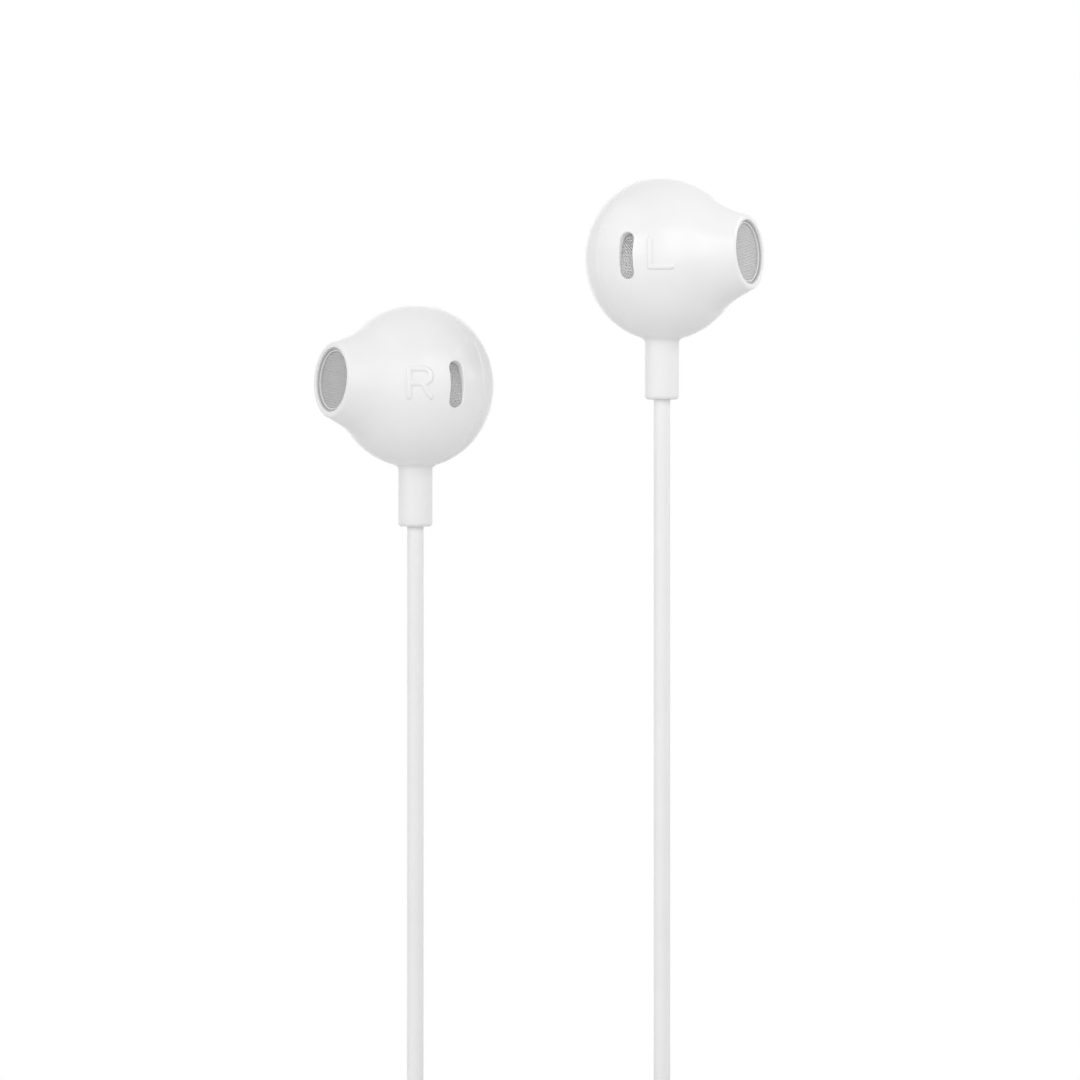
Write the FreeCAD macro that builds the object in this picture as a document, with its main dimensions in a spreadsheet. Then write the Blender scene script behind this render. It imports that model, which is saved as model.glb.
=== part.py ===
import FreeCAD, Part
import math
import os
import Sketcher
from FreeCAD import Placement, Rotation, Vector

# Wired earphones: two half-in-ear buds that hang from their leads, a splitter, the main cable
# wound up under a strap, and a 3.5 mm stereo plug. Millimetres and degrees, +Z up.
# The origin is the centre of the left bud's round housing. The leads hang straight down.
# Each bud has its own frame: z along the driver towards the ear, y up, x towards the nozzle.

SIZES = {
    # Housing: a ball-shaped front shell and a shallower rear cover that meet at a flat seam
    "housing_radius": 8.4,
    "housing_wall": 0.9,
    "rear_flattening": 1.1,
    "rear_side_inset": 2.2,
    "seam_chamfer": 0.12,
    "tongue_thickness": 0.4,
    "tongue_depth": 0.8,
    "tongue_gap": 0.12,
    "tongue_root": 0.6,
    # How the two buds hang
    "bud_spacing": 25.27,
    "bud_step": 13.02,
    "left_turn": 37.0,
    "right_turn": 32.5,
    # Nozzle: canted off the driver's axis, with a rounded lip and a recessed grille
    "nozzle_cant": 27.0,
    "nozzle_rise": 3.5,
    "nozzle_taper": 24.0,
    "nozzle_blend": 3.0,
    "nozzle_reach": 1.45,
    "mouth_radius": 3.95,
    "lip_round": 0.4,
    "opening_radius": 3.28,
    "opening_round": 0.12,
    "grille_ring_recess": 0.3,
    "grille_ring_thickness": 0.2,
    "grille_ring_width": 0.34,
    "grille_thickness": 0.12,
    "grille_ledge": 0.6,
    "nozzle_bore_radius": 2.75,
    # Side vent: a curved slot on the front shell, opposite the nozzle
    "vent_angle": 63.0,
    "vent_half_angle": 12.6,
    "vent_width": 1.27,
    "vent_recess": 0.65,
    "vent_mesh_thickness": 0.15,
    # Fits
    "glue_gap": 0.02,
    "slide_gap": 0.05,
    # Driver, stacked along its axis from its back flange
    "driver_gap": 0.1,
    "driver_height": 1.9,
    "driver_wall": 0.5,
    "driver_floor": 0.4,
    "driver_step": 0.25,
    "flange_width": 0.6,
    "port_share": 0.27,
    "port_count": 6,
    "gasket_thickness": 0.4,
    "seat_rib_thickness": 0.6,
    "yoke_radius": 3.85,
    "yoke_wall": 0.5,
    "yoke_floor": 0.5,
    "yoke_height": 1.75,
    "yoke_reach": 0.3,
    "magnet_gap": 0.65,
    "magnet_thickness": 0.9,
    "pole_gap": 0.6,
    "voice_coil_gap": 0.17,
    "voice_coil_wall": 0.26,
    "voice_coil_height": 1.35,
    "film_thickness": 0.12,
    "dome_rim": 0.02,
    "dome_rise": 0.35,
    "roll_width": 0.95,
    "cone_rise": 0.15,
    "surround_gap": 0.15,
    "roll_height": 0.42,
    "cover_gap": 0.145,
    "cover_depth": 0.7,
    "cover_plate": 0.2,
    "cover_hole_radius": 0.75,
    "cover_hole_circle": 3.0,
    "felt_inset": 0.15,
    "felt_thickness": 0.25,
    "board_width": 4.0,
    "board_height": 1.8,
    "board_thickness": 0.35,
    "board_inset": 1.45,
    # Boot: the soft sleeve that carries the lead into the housing
    "boot_radius": 1.75,
    "boot_reach": 6.0,
    "boot_round": 0.35,
    "boot_flange_radius": 2.1,
    "boot_flange_thickness": 0.45,
    "boot_inset": 0.5,
    "crimp_radius": 1.35,
    "crimp_length": 0.95,
    "lead_stub": 0.4,
    "wire_radius": 0.12,
    "wire_spacing": 0.7,
    "wire_bend": 0.3,
    # Cables
    "lead_diameter": 1.7,
    "main_diameter": 2.0,
    "winding_gap": 0.55,
    "cord_sides": 6,
    "winding_level": 103.5,
    "lead_turns": 3,
    "lead_step_start": 14.5,
    "lead_step_end": 6.5,
    "tail_straight": 10.5,
    "tail_entry": 5.5,
    "main_inner_radius": 6.3,
    "main_turn_gap": 1.1,
    "main_layer_gap": 1.2,
    "main_half_turns": 5,
    "main_layers": 4,
    # The loop of main cable, as steps across, back and up from the splitter's end
    "loop_straight": 6.0,
    "loop_drop": 10.5,
    "loop_turn_across": 4.6,
    "loop_turn_back": 1.6,
    "loop_low_across": 10.6,
    "loop_low_back": 3.9,
    "loop_lift": 0.6,
    "loop_side_across": 14.9,
    "loop_side_drop": 4.5,
    "loop_bulge": 2.0,
    "loop_bulge_rise": 7.5,
    "loop_upper_bulge": 1.4,
    "loop_upper_rise": 21.0,
    "loop_top_rise": 31.0,
    # Splitter
    "splitter_drop": 28.5,
    "splitter_length": 12.0,
    "splitter_top_width": 5.2,
    "splitter_end_width": 3.4,
    "splitter_thickness": 3.2,
    "splitter_round": 1.1,
    "splitter_pitch": 2.2,
    # Strap round the wound cable
    "strap_width": 5.0,
    "strap_thickness": 1.0,
    "strap_gap": 0.3,
    "strap_round": 1.6,
    "strap_room": 0.4,
    # Plug
    "plug_drop": 15.0,
    "relief_length": 9.0,
    "relief_start_radius": 1.45,
    "relief_end_radius": 2.0,
    "grip_length": 14.0,
    "grip_radius": 2.9,
    "grip_chamfer": 0.8,
    "relief_groove_width": 0.6,
    "relief_groove_depth": 0.3,
    "relief_groove_count": 3,
    "shank_radius": 1.75,
    "collar_radius": 2.4,
    "collar_length": 0.8,
    "sleeve_length": 7.0,
    "contact_ring_length": 1.8,
    "insulator_length": 0.6,
    "tip_length": 4.0,
    "tip_waist_radius": 1.2,
    "tip_bulge_radius": 1.7,
    "tip_end_radius": 0.5,
    "core_radius": 0.6,
    "core_depth": 3.0,
}

# Sizes that follow from others, because one piece fits another
FITS = {
    "inside_radius": "housing_radius - housing_wall",
    "rear_depth": "housing_radius - rear_flattening",
    "rear_side_radius": "housing_radius - rear_side_inset",
    "mouth_distance": "housing_radius + nozzle_reach",
    "boot_top": "inside_radius - boot_inset",
    "boot_length": "housing_radius + boot_reach",
    # The driver lies just in front of the crimp, as wide as the ball lets its front edge be
    "driver_back": "crimp_radius + driver_gap",
    "driver_top": "driver_back + driver_height",
    "cover_low": "driver_top + film_thickness",
    "cover_inside": "cover_low + cover_depth",
    "cover_top": "cover_inside + cover_plate",
    "cover_radius": "sqrt(inside_radius^2 - cover_top^2) - cover_gap",
    "driver_radius": "cover_radius + driver_step",
    "basket_radius": "driver_radius - driver_wall",
    "flange_radius": "driver_radius + flange_width",
    "board_drop": "yoke_radius - board_inset",
    "gap_radius": "yoke_radius - yoke_wall",
    "magnet_radius": "gap_radius - magnet_gap",
    "pole_plate_radius": "gap_radius - pole_gap",
    "voice_coil_radius": "gap_radius - voice_coil_gap",
    "dome_radius": "voice_coil_radius + dome_rim",
    "diaphragm_radius": "basket_radius - roll_width - surround_gap",
    "driver_port_radius": "(basket_radius - yoke_radius) * port_share",
    "driver_port_circle": "(basket_radius + yoke_radius) / 2",
    "lead_pitch": "lead_diameter + winding_gap",
    "main_pitch": "main_diameter + main_turn_gap",
    "main_layer_step": "main_diameter + main_layer_gap",
    "main_ring_radius": "main_inner_radius + main_half_turns * main_pitch / 2",
}

doc = FreeCAD.newDocument("wired_earphones")
sheet = doc.addObject("Spreadsheet::Sheet", "sizes")
for row, (alias, value) in enumerate(SIZES.items(), start=1):
    sheet.set(f"A{row}", alias)
    sheet.set(f"B{row}", str(value))
    sheet.setAlias(f"B{row}", alias)
doc.recompute()


def bound(text):
    """An expression of bare names, with the sheet's name before each and the fits written out."""
    words = []
    word = ""
    for letter in text + " ":
        if letter.isalnum() or letter == "_":
            word += letter
            continue
        if word in FITS:
            words.append(f"({bound(FITS[word])})")
        else:
            words.append(f"sizes.{word}" if word in SIZES else word)
        words.append(letter)
        word = ""
    return "".join(words).strip()


def worked_out(text):
    """The value of an expression of bare names."""
    return float(sheet.evalExpression(bound(text)))


class Cells:
    """Sizes and fits read back as numbers, such as cell.housing_radius."""

    def __getattr__(self, name):
        return worked_out(name)


cell = Cells()
nodes = []
Z_AXIS = Vector(0, 0, 1)


# Ways of making a sub-part


def keep(label, feature, placement=None):
    """Name a finished object, put it in its place and list it as a sub-part."""
    feature.Label = label
    if placement is not None:
        feature.Placement = placement
    nodes.append(feature)
    return feature


def shaped(label, shape, placement=None):
    """A sub-part whose shape comes from curves worked out here."""
    feature = doc.addObject("Part::Feature", label + "_shape")
    feature.Shape = shape
    return keep(label, feature, placement)


def origin_plane(body, role):
    """One of a body's own origin planes."""
    return next(f for f in body.Origin.OriginFeatures if f.Role == role)


def sketch_on(body, name, role):
    """A sketch on one of a body's own origin planes."""
    sketch = body.newObject("Sketcher::SketchObject", name)
    sketch.AttachmentSupport = [(origin_plane(body, role), "")]
    sketch.MapMode = "FlatFace"
    return sketch


def draw_outline(sketch, corners):
    """A closed outline of straight lines whose corners are bound to expressions of the sheet."""
    points = [Vector(worked_out(across), worked_out(up), 0) for across, up in corners]
    count = len(points)
    for i in range(count):
        sketch.addGeometry(Part.LineSegment(points[i], points[(i + 1) % count]), False)
    for i in range(count):
        sketch.addConstraint(Sketcher.Constraint("Coincident", i, 2, (i + 1) % count, 1))
    for i, (across, up) in enumerate(corners):
        for kind, value, text in (("DistanceX", points[i].x, across), ("DistanceY", points[i].y, up)):
            index = sketch.addConstraint(Sketcher.Constraint(kind, -1, 1, i, 1, value))
            sketch.setExpression(f"Constraints[{index}]", bound(text))


def turned(label, corners, placement=None):
    """A body turned about its Z axis from a straight-sided outline of (radius, height)."""
    body = doc.addObject("PartDesign::Body", label + "_body")
    sketch = sketch_on(body, label + "_outline", "XZ_Plane")
    draw_outline(sketch, corners)
    turn = body.newObject("PartDesign::Revolution", label + "_turn")
    turn.Profile = sketch
    turn.ReferenceAxis = (sketch, ["V_Axis"])
    turn.Angle = 360.0
    doc.recompute()
    return keep(label, body, placement)


def ring_of_holes(body, label, radius, circle, count, centre_hole=False):
    """Holes through a turned body, evenly spaced round its axis."""
    sketch = sketch_on(body, label + "_hole", "XY_Plane")
    sketch.addGeometry(Part.Circle(Vector(worked_out(circle), 0, 0), Z_AXIS, 1.0), False)
    index = sketch.addConstraint(Sketcher.Constraint("Radius", 0, worked_out(radius)))
    sketch.setExpression(f"Constraints[{index}]", bound(radius))
    sketch.addConstraint(Sketcher.Constraint("PointOnObject", 0, 3, -1))
    index = sketch.addConstraint(
        Sketcher.Constraint("DistanceX", -1, 1, 0, 3, worked_out(circle))
    )
    sketch.setExpression(f"Constraints[{index}]", bound(circle))
    if centre_hole:
        sketch.addGeometry(Part.Circle(Vector(0, 0, 0), Z_AXIS, 1.0), False)
        sketch.addConstraint(Sketcher.Constraint("Coincident", 1, 3, -1, 1))
        index = sketch.addConstraint(Sketcher.Constraint("Radius", 1, worked_out(radius)))
        sketch.setExpression(f"Constraints[{index}]", bound(radius))
    before = body.Shape.Volume
    cut = body.newObject("PartDesign::Pocket", label + "_bore")
    cut.Profile = sketch
    cut.Type = "ThroughAll"
    cut.Midplane = True
    doc.recompute()
    pattern = body.newObject("PartDesign::PolarPattern", label + "_holes")
    pattern.Originals = [cut]
    pattern.Axis = (sketch, ["N_Axis"])
    pattern.Angle = 360.0
    pattern.setExpression("Occurrences", bound(count))
    body.Tip = pattern
    doc.recompute()
    if body.Shape.Volume >= before:
        raise RuntimeError(label + ": the holes cut nothing")


def disc(label, radius, height, base, placement):
    """A plain round piece, with its radius, height and lower face bound to the sheet."""
    piece = doc.addObject("Part::Cylinder", label + "_disc")
    piece.setExpression("Radius", bound(radius))
    piece.setExpression("Height", bound(height))
    lift = Placement(Vector(0, 0, worked_out(base)), Rotation())
    return keep(label, piece, placement.multiply(lift))


def arc(start, middle, end):
    return Part.Arc(start, middle, end).toShape()


def line(start, end):
    return Part.LineSegment(start, end).toShape()


def spun(edges):
    """A solid turned about the Z axis from a closed outline drawn in the XZ plane."""
    face = Part.Face(Part.Wire(Part.__sortEdges__(edges)))
    return face.revolve(Vector(0, 0, 0), Z_AXIS, 360)


def ring(inner, outer, low, high):
    """A plain ring between two radii and two heights."""
    solid = Part.makeCylinder(outer, high - low, Vector(0, 0, low))
    return solid.cut(Part.makeCylinder(inner, high - low, Vector(0, 0, low)))


def profile_point(along, radius):
    """A point of a turned outline, given along the axis and out from it."""
    return Vector(radius, 0, along)


# Frames


class Bud:
    """One earbud's side: its name, where it hangs and which way it faces."""

    def __init__(self, name):
        self.name = name
        self.sign = 1 if name == "left" else -1
        if self.sign > 0:
            self.centre = Vector(0, 0, 0)
            turn = cell.left_turn
        else:
            self.centre = Vector(-cell.bud_spacing, 0, -cell.bud_step)
            turn = -cell.right_turn
        upright = Rotation(Vector(1, 0, 0), 90)
        self.frame = Placement(self.centre, Rotation(Z_AXIS, turn).multiply(upright))
        cant = Rotation(Vector(0, 1, 0), self.sign * cell.nozzle_cant)
        rise = Rotation(Vector(1, 0, 0), -cell.nozzle_rise)
        self.nozzle = Placement(Vector(0, 0, 0), rise.multiply(cant))
        down = Rotation(Vector(1, 0, 0), 90)
        self.stem = Placement(Vector(0, 0, 0), down)

    def label(self, piece):
        return f"{self.name}_{piece}"


# The housing


def tangent_arc(start, centre, radius, end):
    """A round stretch of an outline, from one tangent point to the next."""
    out = (start - centre).normalize() + (end - centre).normalize()
    return arc(start, centre + out.normalize() * radius, end)


def nozzle_form(inset):
    """The ball and its nozzle, turned about the nozzle's axis; inset draws the cavity inside it."""
    ball = cell.housing_radius - inset
    taper = math.radians(cell.nozzle_taper)
    along_cone = profile_point(-math.cos(taper), math.sin(taper))
    off_cone = profile_point(math.sin(taper), math.cos(taper))
    lip_centre = profile_point(
        cell.mouth_distance - cell.lip_round, cell.mouth_radius - cell.lip_round
    )
    lip_start = lip_centre + off_cone * cell.lip_round
    # The blend's centre is one blend radius off the cone and off the ball
    base = lip_start + off_cone * cell.nozzle_blend
    reach = cell.housing_radius + cell.nozzle_blend
    half_b = base.dot(along_cone)
    travel = -half_b - math.sqrt(half_b**2 - base.dot(base) + reach**2)
    centre = base + along_cone * travel
    ball_end = centre * (ball / reach)
    cone_start = centre - off_cone * (cell.nozzle_blend + inset)
    pole = profile_point(-ball, 0)
    first = ball_end.normalize() * ball
    middle = (pole + first).normalize()
    if middle.x < 0:
        middle = middle * -1
    edges = [arc(pole, middle * ball, first)]
    edges.append(tangent_arc(first, centre, cell.nozzle_blend + inset, cone_start))
    if inset > 0:
        end = ledge_back()
        inner_lip = lip_start - off_cone * inset
        radius = inner_lip.x + (inner_lip.z - end) * math.tan(taper)
        edges.append(line(cone_start, profile_point(end, radius)))
        edges.append(line(profile_point(end, radius), profile_point(end, 0)))
        edges.append(line(profile_point(end, 0), pole))
        return spun(edges)
    lip_end = lip_centre + profile_point(cell.lip_round, 0)
    edges.append(line(cone_start, lip_start))
    edges.append(tangent_arc(lip_start, lip_centre, cell.lip_round, lip_end))
    edges.append(line(lip_end, profile_point(cell.mouth_distance, 0)))
    edges.append(line(profile_point(cell.mouth_distance, 0), pole))
    return spun(edges)


def grille_seat():
    """How far along the nozzle the grille rests on its ledge."""
    depth = cell.grille_ring_recess + cell.grille_ring_thickness + cell.grille_thickness
    return cell.mouth_distance - depth


def ledge_back():
    return grille_seat() - cell.grille_ledge


def mouth_cutter():
    """The opening with its small round, the seat of the grille and the bore behind it."""
    mouth = cell.mouth_distance
    edge = cell.opening_round
    wide = cell.opening_radius + edge
    seat = grille_seat()
    rounded = profile_point(mouth - edge, cell.opening_radius)
    face = profile_point(mouth, wide)
    outside = mouth + 1
    middle = profile_point(mouth - edge + edge * math.sin(math.pi / 4), wide - edge * math.cos(math.pi / 4))
    edges = [
        line(profile_point(seat, 0), profile_point(seat, cell.opening_radius)),
        line(profile_point(seat, cell.opening_radius), rounded),
        arc(rounded, middle, face),
        line(face, profile_point(outside, wide)),
        line(profile_point(outside, wide), profile_point(outside, 0)),
        line(profile_point(outside, 0), profile_point(seat, 0)),
    ]
    back = ledge_back() - 1
    bore = Part.makeCylinder(cell.nozzle_bore_radius, seat - back, Vector(0, 0, back))
    return spun(edges).fuse(bore)


def vent_strip(bud, inner, outer, clearance):
    """A strip of the ball on one circle of latitude, with round ends, between two radii."""
    angle = math.radians(cell.vent_angle)
    width = cell.vent_width - 2 * clearance
    out = Vector(math.sin(angle), 0, math.cos(angle))
    across = Vector(math.cos(angle), 0, -math.sin(angle))
    corners = [
        out * inner - across * (width / 2),
        out * outer - across * (width / 2),
        out * outer + across * (width / 2),
        out * inner + across * (width / 2),
    ]
    face = Part.Face(Part.makePolygon(corners + corners[:1]))
    half = cell.vent_half_angle
    face.rotate(Vector(0, 0, 0), Z_AXIS, -half)
    strip = face.revolve(Vector(0, 0, 0), Z_AXIS, 2 * half)
    for turn in (-half, half):
        end = Part.makeCylinder(width / 2, outer - inner, out * inner, out)
        end.rotate(Vector(0, 0, 0), Z_AXIS, turn)
        strip = strip.fuse(end)
    if bud.sign > 0:
        strip.rotate(Vector(0, 0, 0), Z_AXIS, 180)
    return strip.removeSplitter()


def half_space(front):
    """A block that fills one side of the seam, larger than the bud."""
    size = 4 * cell.housing_radius
    low = 0 if front else -size
    return Part.makeBox(size, size, size, Vector(-size / 2, -size / 2, low))


def stem_hole(radius, low, high):
    """A round bar along the stem, in the bud's own frame, between two depths under its centre."""
    bar = Part.makeCylinder(radius, high - low, Vector(0, 0, 0), Vector(0, -1, 0))
    bar.translate(Vector(0, -low, 0))
    return bar


def boot_seat():
    """The hole for the boot and the wider recess for its flange, half in each shell."""
    gap = cell.slide_gap
    hole = stem_hole(cell.boot_radius + gap, cell.boot_top, 2 * cell.housing_radius)
    flange_low = cell.boot_top + cell.boot_flange_thickness + gap
    return hole.fuse(stem_hole(cell.boot_flange_radius + gap, cell.boot_top - 1, flange_low))


def seat_rib_low():
    return cell.driver_back + cell.driver_floor + cell.gasket_thickness


def front_housing(bud):
    """Front shell: ball and nozzle in one, with the driver's seat rib and the tongue of the seam."""
    outer = nozzle_form(0)
    cavity = nozzle_form(cell.housing_wall)
    mouth = mouth_cutter()
    for form in (outer, cavity, mouth):
        form.Placement = bud.nozzle
    inside = cell.inside_radius
    deep = inside + cell.housing_wall / 2
    tongue_outer = inside - cell.tongue_gap
    tongue_inner = tongue_outer - cell.tongue_thickness
    bore = cell.driver_radius + cell.slide_gap
    rib_edge = inside + cell.housing_wall / 4
    rib = ring(bore, rib_edge, seat_rib_low(), seat_rib_low() + cell.seat_rib_thickness)
    tongue = ring(tongue_inner, tongue_outer, -cell.tongue_depth, cell.tongue_root)
    root = ring(tongue_inner, deep, 0, cell.tongue_root)
    shell = outer.common(half_space(True)).cut(cavity)
    shell = shell.fuse([rib, tongue, root]).cut(mouth)
    vent = vent_strip(bud, inside - 1, cell.housing_radius + 1, 0)
    shell = shell.cut([boot_seat(), vent]).removeSplitter()
    return shaped(bud.label("front_housing"), shell, bud.frame)


def dome(inset):
    """The rear cover's form: a side arc and a flatter cap arc, tangent where they meet."""
    side = cell.rear_side_radius
    reach = cell.housing_radius - side
    depth = cell.rear_depth
    cap = (reach**2 + depth**2 - side**2) / (2 * (depth - side))
    side_centre = Vector(reach, 0, 0)
    cap_centre = Vector(0, 0, cap - depth)
    out = (side_centre - cap_centre).normalize()
    start = Vector(cell.housing_radius - inset, 0, 0)
    meet = cap_centre + out * (cap - inset)
    pole = Vector(0, 0, inset - depth)
    edges = [
        tangent_arc(start, side_centre, side - inset, meet),
        tangent_arc(meet, cap_centre, cap - inset, pole),
        line(pole, Vector(0, 0, 0)),
        line(Vector(0, 0, 0), start),
    ]
    return spun(edges)


def rear_cover(bud):
    """Rear cover: a thin dome that closes the housing, chamfered at the seam."""
    shell = dome(0).cut(dome(cell.housing_wall))
    radius = cell.housing_radius
    edge = cell.seam_chamfer
    bevel = Part.makeCone(radius + 1, radius - edge, 1 + edge, Vector(0, 0, -1 - edge))
    below = Part.makeCylinder(radius + 1, radius, Vector(0, 0, -1 - edge - radius))
    shell = shell.common(bevel.fuse(below))
    shell = shell.cut(boot_seat())
    return shaped(bud.label("rear_cover"), shell, bud.frame)


def vent_mesh(bud):
    """The woven strip in the bottom of the side vent."""
    top = cell.housing_radius - cell.vent_recess
    strip = vent_strip(bud, top - cell.vent_mesh_thickness, top, cell.glue_gap)
    return shaped(bud.label("vent_mesh"), strip, bud.frame)


def grille(bud):
    """The round mesh in the nozzle and the flat ring that holds it."""
    place = bud.frame.multiply(bud.nozzle)
    seat = "mouth_distance - grille_ring_recess - grille_ring_thickness - grille_thickness"
    disc(bud.label("nozzle_grille"), "opening_radius - glue_gap", "grille_thickness", seat, place)
    low = "mouth_distance - grille_ring_recess - grille_ring_thickness"
    high = "mouth_distance - grille_ring_recess"
    outer = "opening_radius - glue_gap"
    inner = "opening_radius - grille_ring_width"
    turned(
        bud.label("grille_ring"),
        [(inner, low), (outer, low), (outer, high), (inner, high)],
        place,
    )


# The driver


def driver(bud):
    """The loudspeaker unit, piece by piece from its back."""
    place = bud.frame
    back = "driver_back"
    top = "driver_top"
    floor = "driver_back + driver_floor"
    frame = turned(
        bud.label("driver_frame"),
        [
            ("yoke_radius + glue_gap", back),
            ("flange_radius", back),
            ("flange_radius", floor),
            ("driver_radius", floor),
            ("driver_radius", top),
            ("basket_radius", top),
            ("basket_radius", floor),
            ("yoke_radius + glue_gap", floor),
        ],
        place,
    )
    ring_of_holes(frame, bud.label("port"), "driver_port_radius", "driver_port_circle", "port_count")
    gasket_top = floor + " + gasket_thickness"
    gasket_bore = "driver_radius + slide_gap"
    turned(
        bud.label("driver_gasket"),
        [
            (gasket_bore, floor),
            ("flange_radius", floor),
            ("flange_radius", gasket_top),
            (gasket_bore, gasket_top),
        ],
        place,
    )
    yoke_back = "driver_back - yoke_reach"
    yoke_inside = "driver_back - yoke_reach + yoke_floor"
    yoke_top = "driver_back - yoke_reach + yoke_height"
    turned(
        bud.label("yoke"),
        [
            ("0", yoke_back),
            ("yoke_radius", yoke_back),
            ("yoke_radius", yoke_top),
            ("gap_radius", yoke_top),
            ("gap_radius", yoke_inside),
            ("0", yoke_inside),
        ],
        place,
    )
    disc(bud.label("magnet"), "magnet_radius", "magnet_thickness", yoke_inside, place)
    plate_low = yoke_inside + " + magnet_thickness"
    plate_height = "yoke_height - yoke_floor - magnet_thickness"
    disc(bud.label("pole_plate"), "pole_plate_radius", plate_height, plate_low, place)
    turned(
        bud.label("voice_coil"),
        [
            ("voice_coil_radius - voice_coil_wall", top + " - voice_coil_height"),
            ("voice_coil_radius", top + " - voice_coil_height"),
            ("voice_coil_radius", top),
            ("voice_coil_radius - voice_coil_wall", top),
        ],
        place,
    )
    diaphragm(bud)
    surround(bud)
    cover = turned(
        bud.label("driver_cover"),
        [
            ("basket_radius", "cover_low"),
            ("cover_radius", "cover_low"),
            ("cover_radius", "cover_top"),
            ("0", "cover_top"),
            ("0", "cover_inside"),
            ("basket_radius", "cover_inside"),
        ],
        place,
    )
    ring_of_holes(
        cover, bud.label("cover"), "cover_hole_radius", "cover_hole_circle", "port_count", True
    )
    turned(
        bud.label("damping_felt"),
        [
            ("yoke_radius + felt_inset", "driver_back - felt_thickness"),
            ("basket_radius - felt_inset", "driver_back - felt_thickness"),
            ("basket_radius - felt_inset", back),
            ("yoke_radius + felt_inset", back),
        ],
        place,
    )


def diaphragm(bud):
    """The moving film: a domed centre inside a shallow cone."""
    base = cell.driver_top
    film = cell.film_thickness
    rim = cell.dome_radius
    edge = cell.diaphragm_radius
    # The sphere through the dome's top and rim
    ball = (rim**2 + cell.dome_rise**2) / (2 * cell.dome_rise)
    half = math.asin(rim / ball) / 2

    def dome_arc(lift):
        top = base + cell.dome_rise + lift
        middle = Vector(ball * math.sin(half), 0, top - ball * (1 - math.cos(half)))
        return arc(Vector(rim, 0, base + lift), middle, Vector(0, 0, top))

    edges = [
        dome_arc(film),
        line(Vector(0, 0, base + cell.dome_rise + film), Vector(0, 0, base + cell.dome_rise)),
        dome_arc(0),
        line(Vector(rim, 0, base), Vector(edge, 0, base + cell.cone_rise)),
        line(Vector(edge, 0, base + cell.cone_rise), Vector(edge, 0, base + cell.cone_rise + film)),
        line(Vector(edge, 0, base + cell.cone_rise + film), Vector(rim, 0, base + film)),
    ]
    shaped(bud.label("diaphragm"), spun(edges), bud.frame)


def surround(bud):
    """The soft roll between the diaphragm and the rim that is glued to the frame."""
    base = "driver_top"
    inner = "basket_radius - roll_width"
    foot = "basket_radius"
    rim = "driver_radius - slide_gap"
    flank = "film_thickness * 2"
    turned(
        bud.label("surround"),
        [
            (inner, base),
            (inner + " + film_thickness", base),
            (inner + " + " + flank, base + " + roll_height"),
            (foot + " - " + flank, base + " + roll_height"),
            (foot + " - film_thickness", base),
            (rim, base),
            (rim, base + " + film_thickness"),
            (foot, base + " + film_thickness"),
            (foot + " - film_thickness", base + " + roll_height + film_thickness"),
            (inner + " + film_thickness", base + " + roll_height + film_thickness"),
            (inner, base + " + film_thickness"),
        ],
        bud.frame,
    )


def terminal_board(bud):
    """The little board on the back of the yoke where the lead's wires end."""
    board = doc.addObject("Part::Box", bud.label("board_box"))
    board.setExpression("Length", bound("board_width"))
    board.setExpression("Width", bound("board_height"))
    board.setExpression("Height", bound("board_thickness"))
    back = cell.driver_back - cell.yoke_reach - cell.board_thickness
    corner = Vector(-cell.board_width / 2, -cell.board_drop - cell.board_height / 2, back)
    keep(bud.label("terminal_board"), board, bud.frame.multiply(Placement(corner, Rotation())))


# The lead's way into the housing


def stem_place(bud):
    """The frame of what is turned about the lead: z up, at the bud's centre."""
    return Placement(bud.centre, Rotation())


def cable_boot(bud):
    """The soft sleeve: its flange is held inside the seam and its end is rounded."""
    bore = "lead_diameter / 2 + slide_gap"
    flange_low = "-boot_top - boot_flange_thickness"
    boot = turned(
        bud.label("cable_boot"),
        [
            (bore, "-boot_length"),
            ("boot_radius", "-boot_length"),
            ("boot_radius", flange_low),
            ("boot_flange_radius", flange_low),
            ("boot_flange_radius", "-boot_top"),
            (bore, "-boot_top"),
        ],
        stem_place(bud),
    )
    turn = boot.Tip
    ends = []
    for number, edge in enumerate(boot.Tip.Shape.Edges, start=1):
        box = edge.BoundBox
        at_end = abs(box.ZMin - boot.Tip.Shape.BoundBox.ZMin) < 0.01 and box.ZLength < 0.01
        if at_end and abs(box.XMax - box.XMin - 2 * cell.boot_radius) < 0.05:
            ends.append(f"Edge{number}")
    soft = boot.newObject("PartDesign::Fillet", bud.label("boot_round"))
    soft.Base = (turn, ends)
    soft.setExpression("Radius", bound("boot_round"))
    boot.Tip = soft
    doc.recompute()


def cable_crimp(bud):
    """The metal ring that stops the lead from being pulled out through the boot."""
    bore = "lead_diameter / 2 + glue_gap"
    turned(
        bud.label("cable_crimp"),
        [
            (bore, "-boot_top"),
            ("crimp_radius", "-boot_top"),
            ("crimp_radius", "-boot_top + crimp_length"),
            (bore, "-boot_top + crimp_length"),
        ],
        stem_place(bud),
    )


def lead_top():
    """How far under the bud's centre the lead's jacket ends."""
    return cell.boot_top - cell.crimp_length - cell.lead_stub


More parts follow.
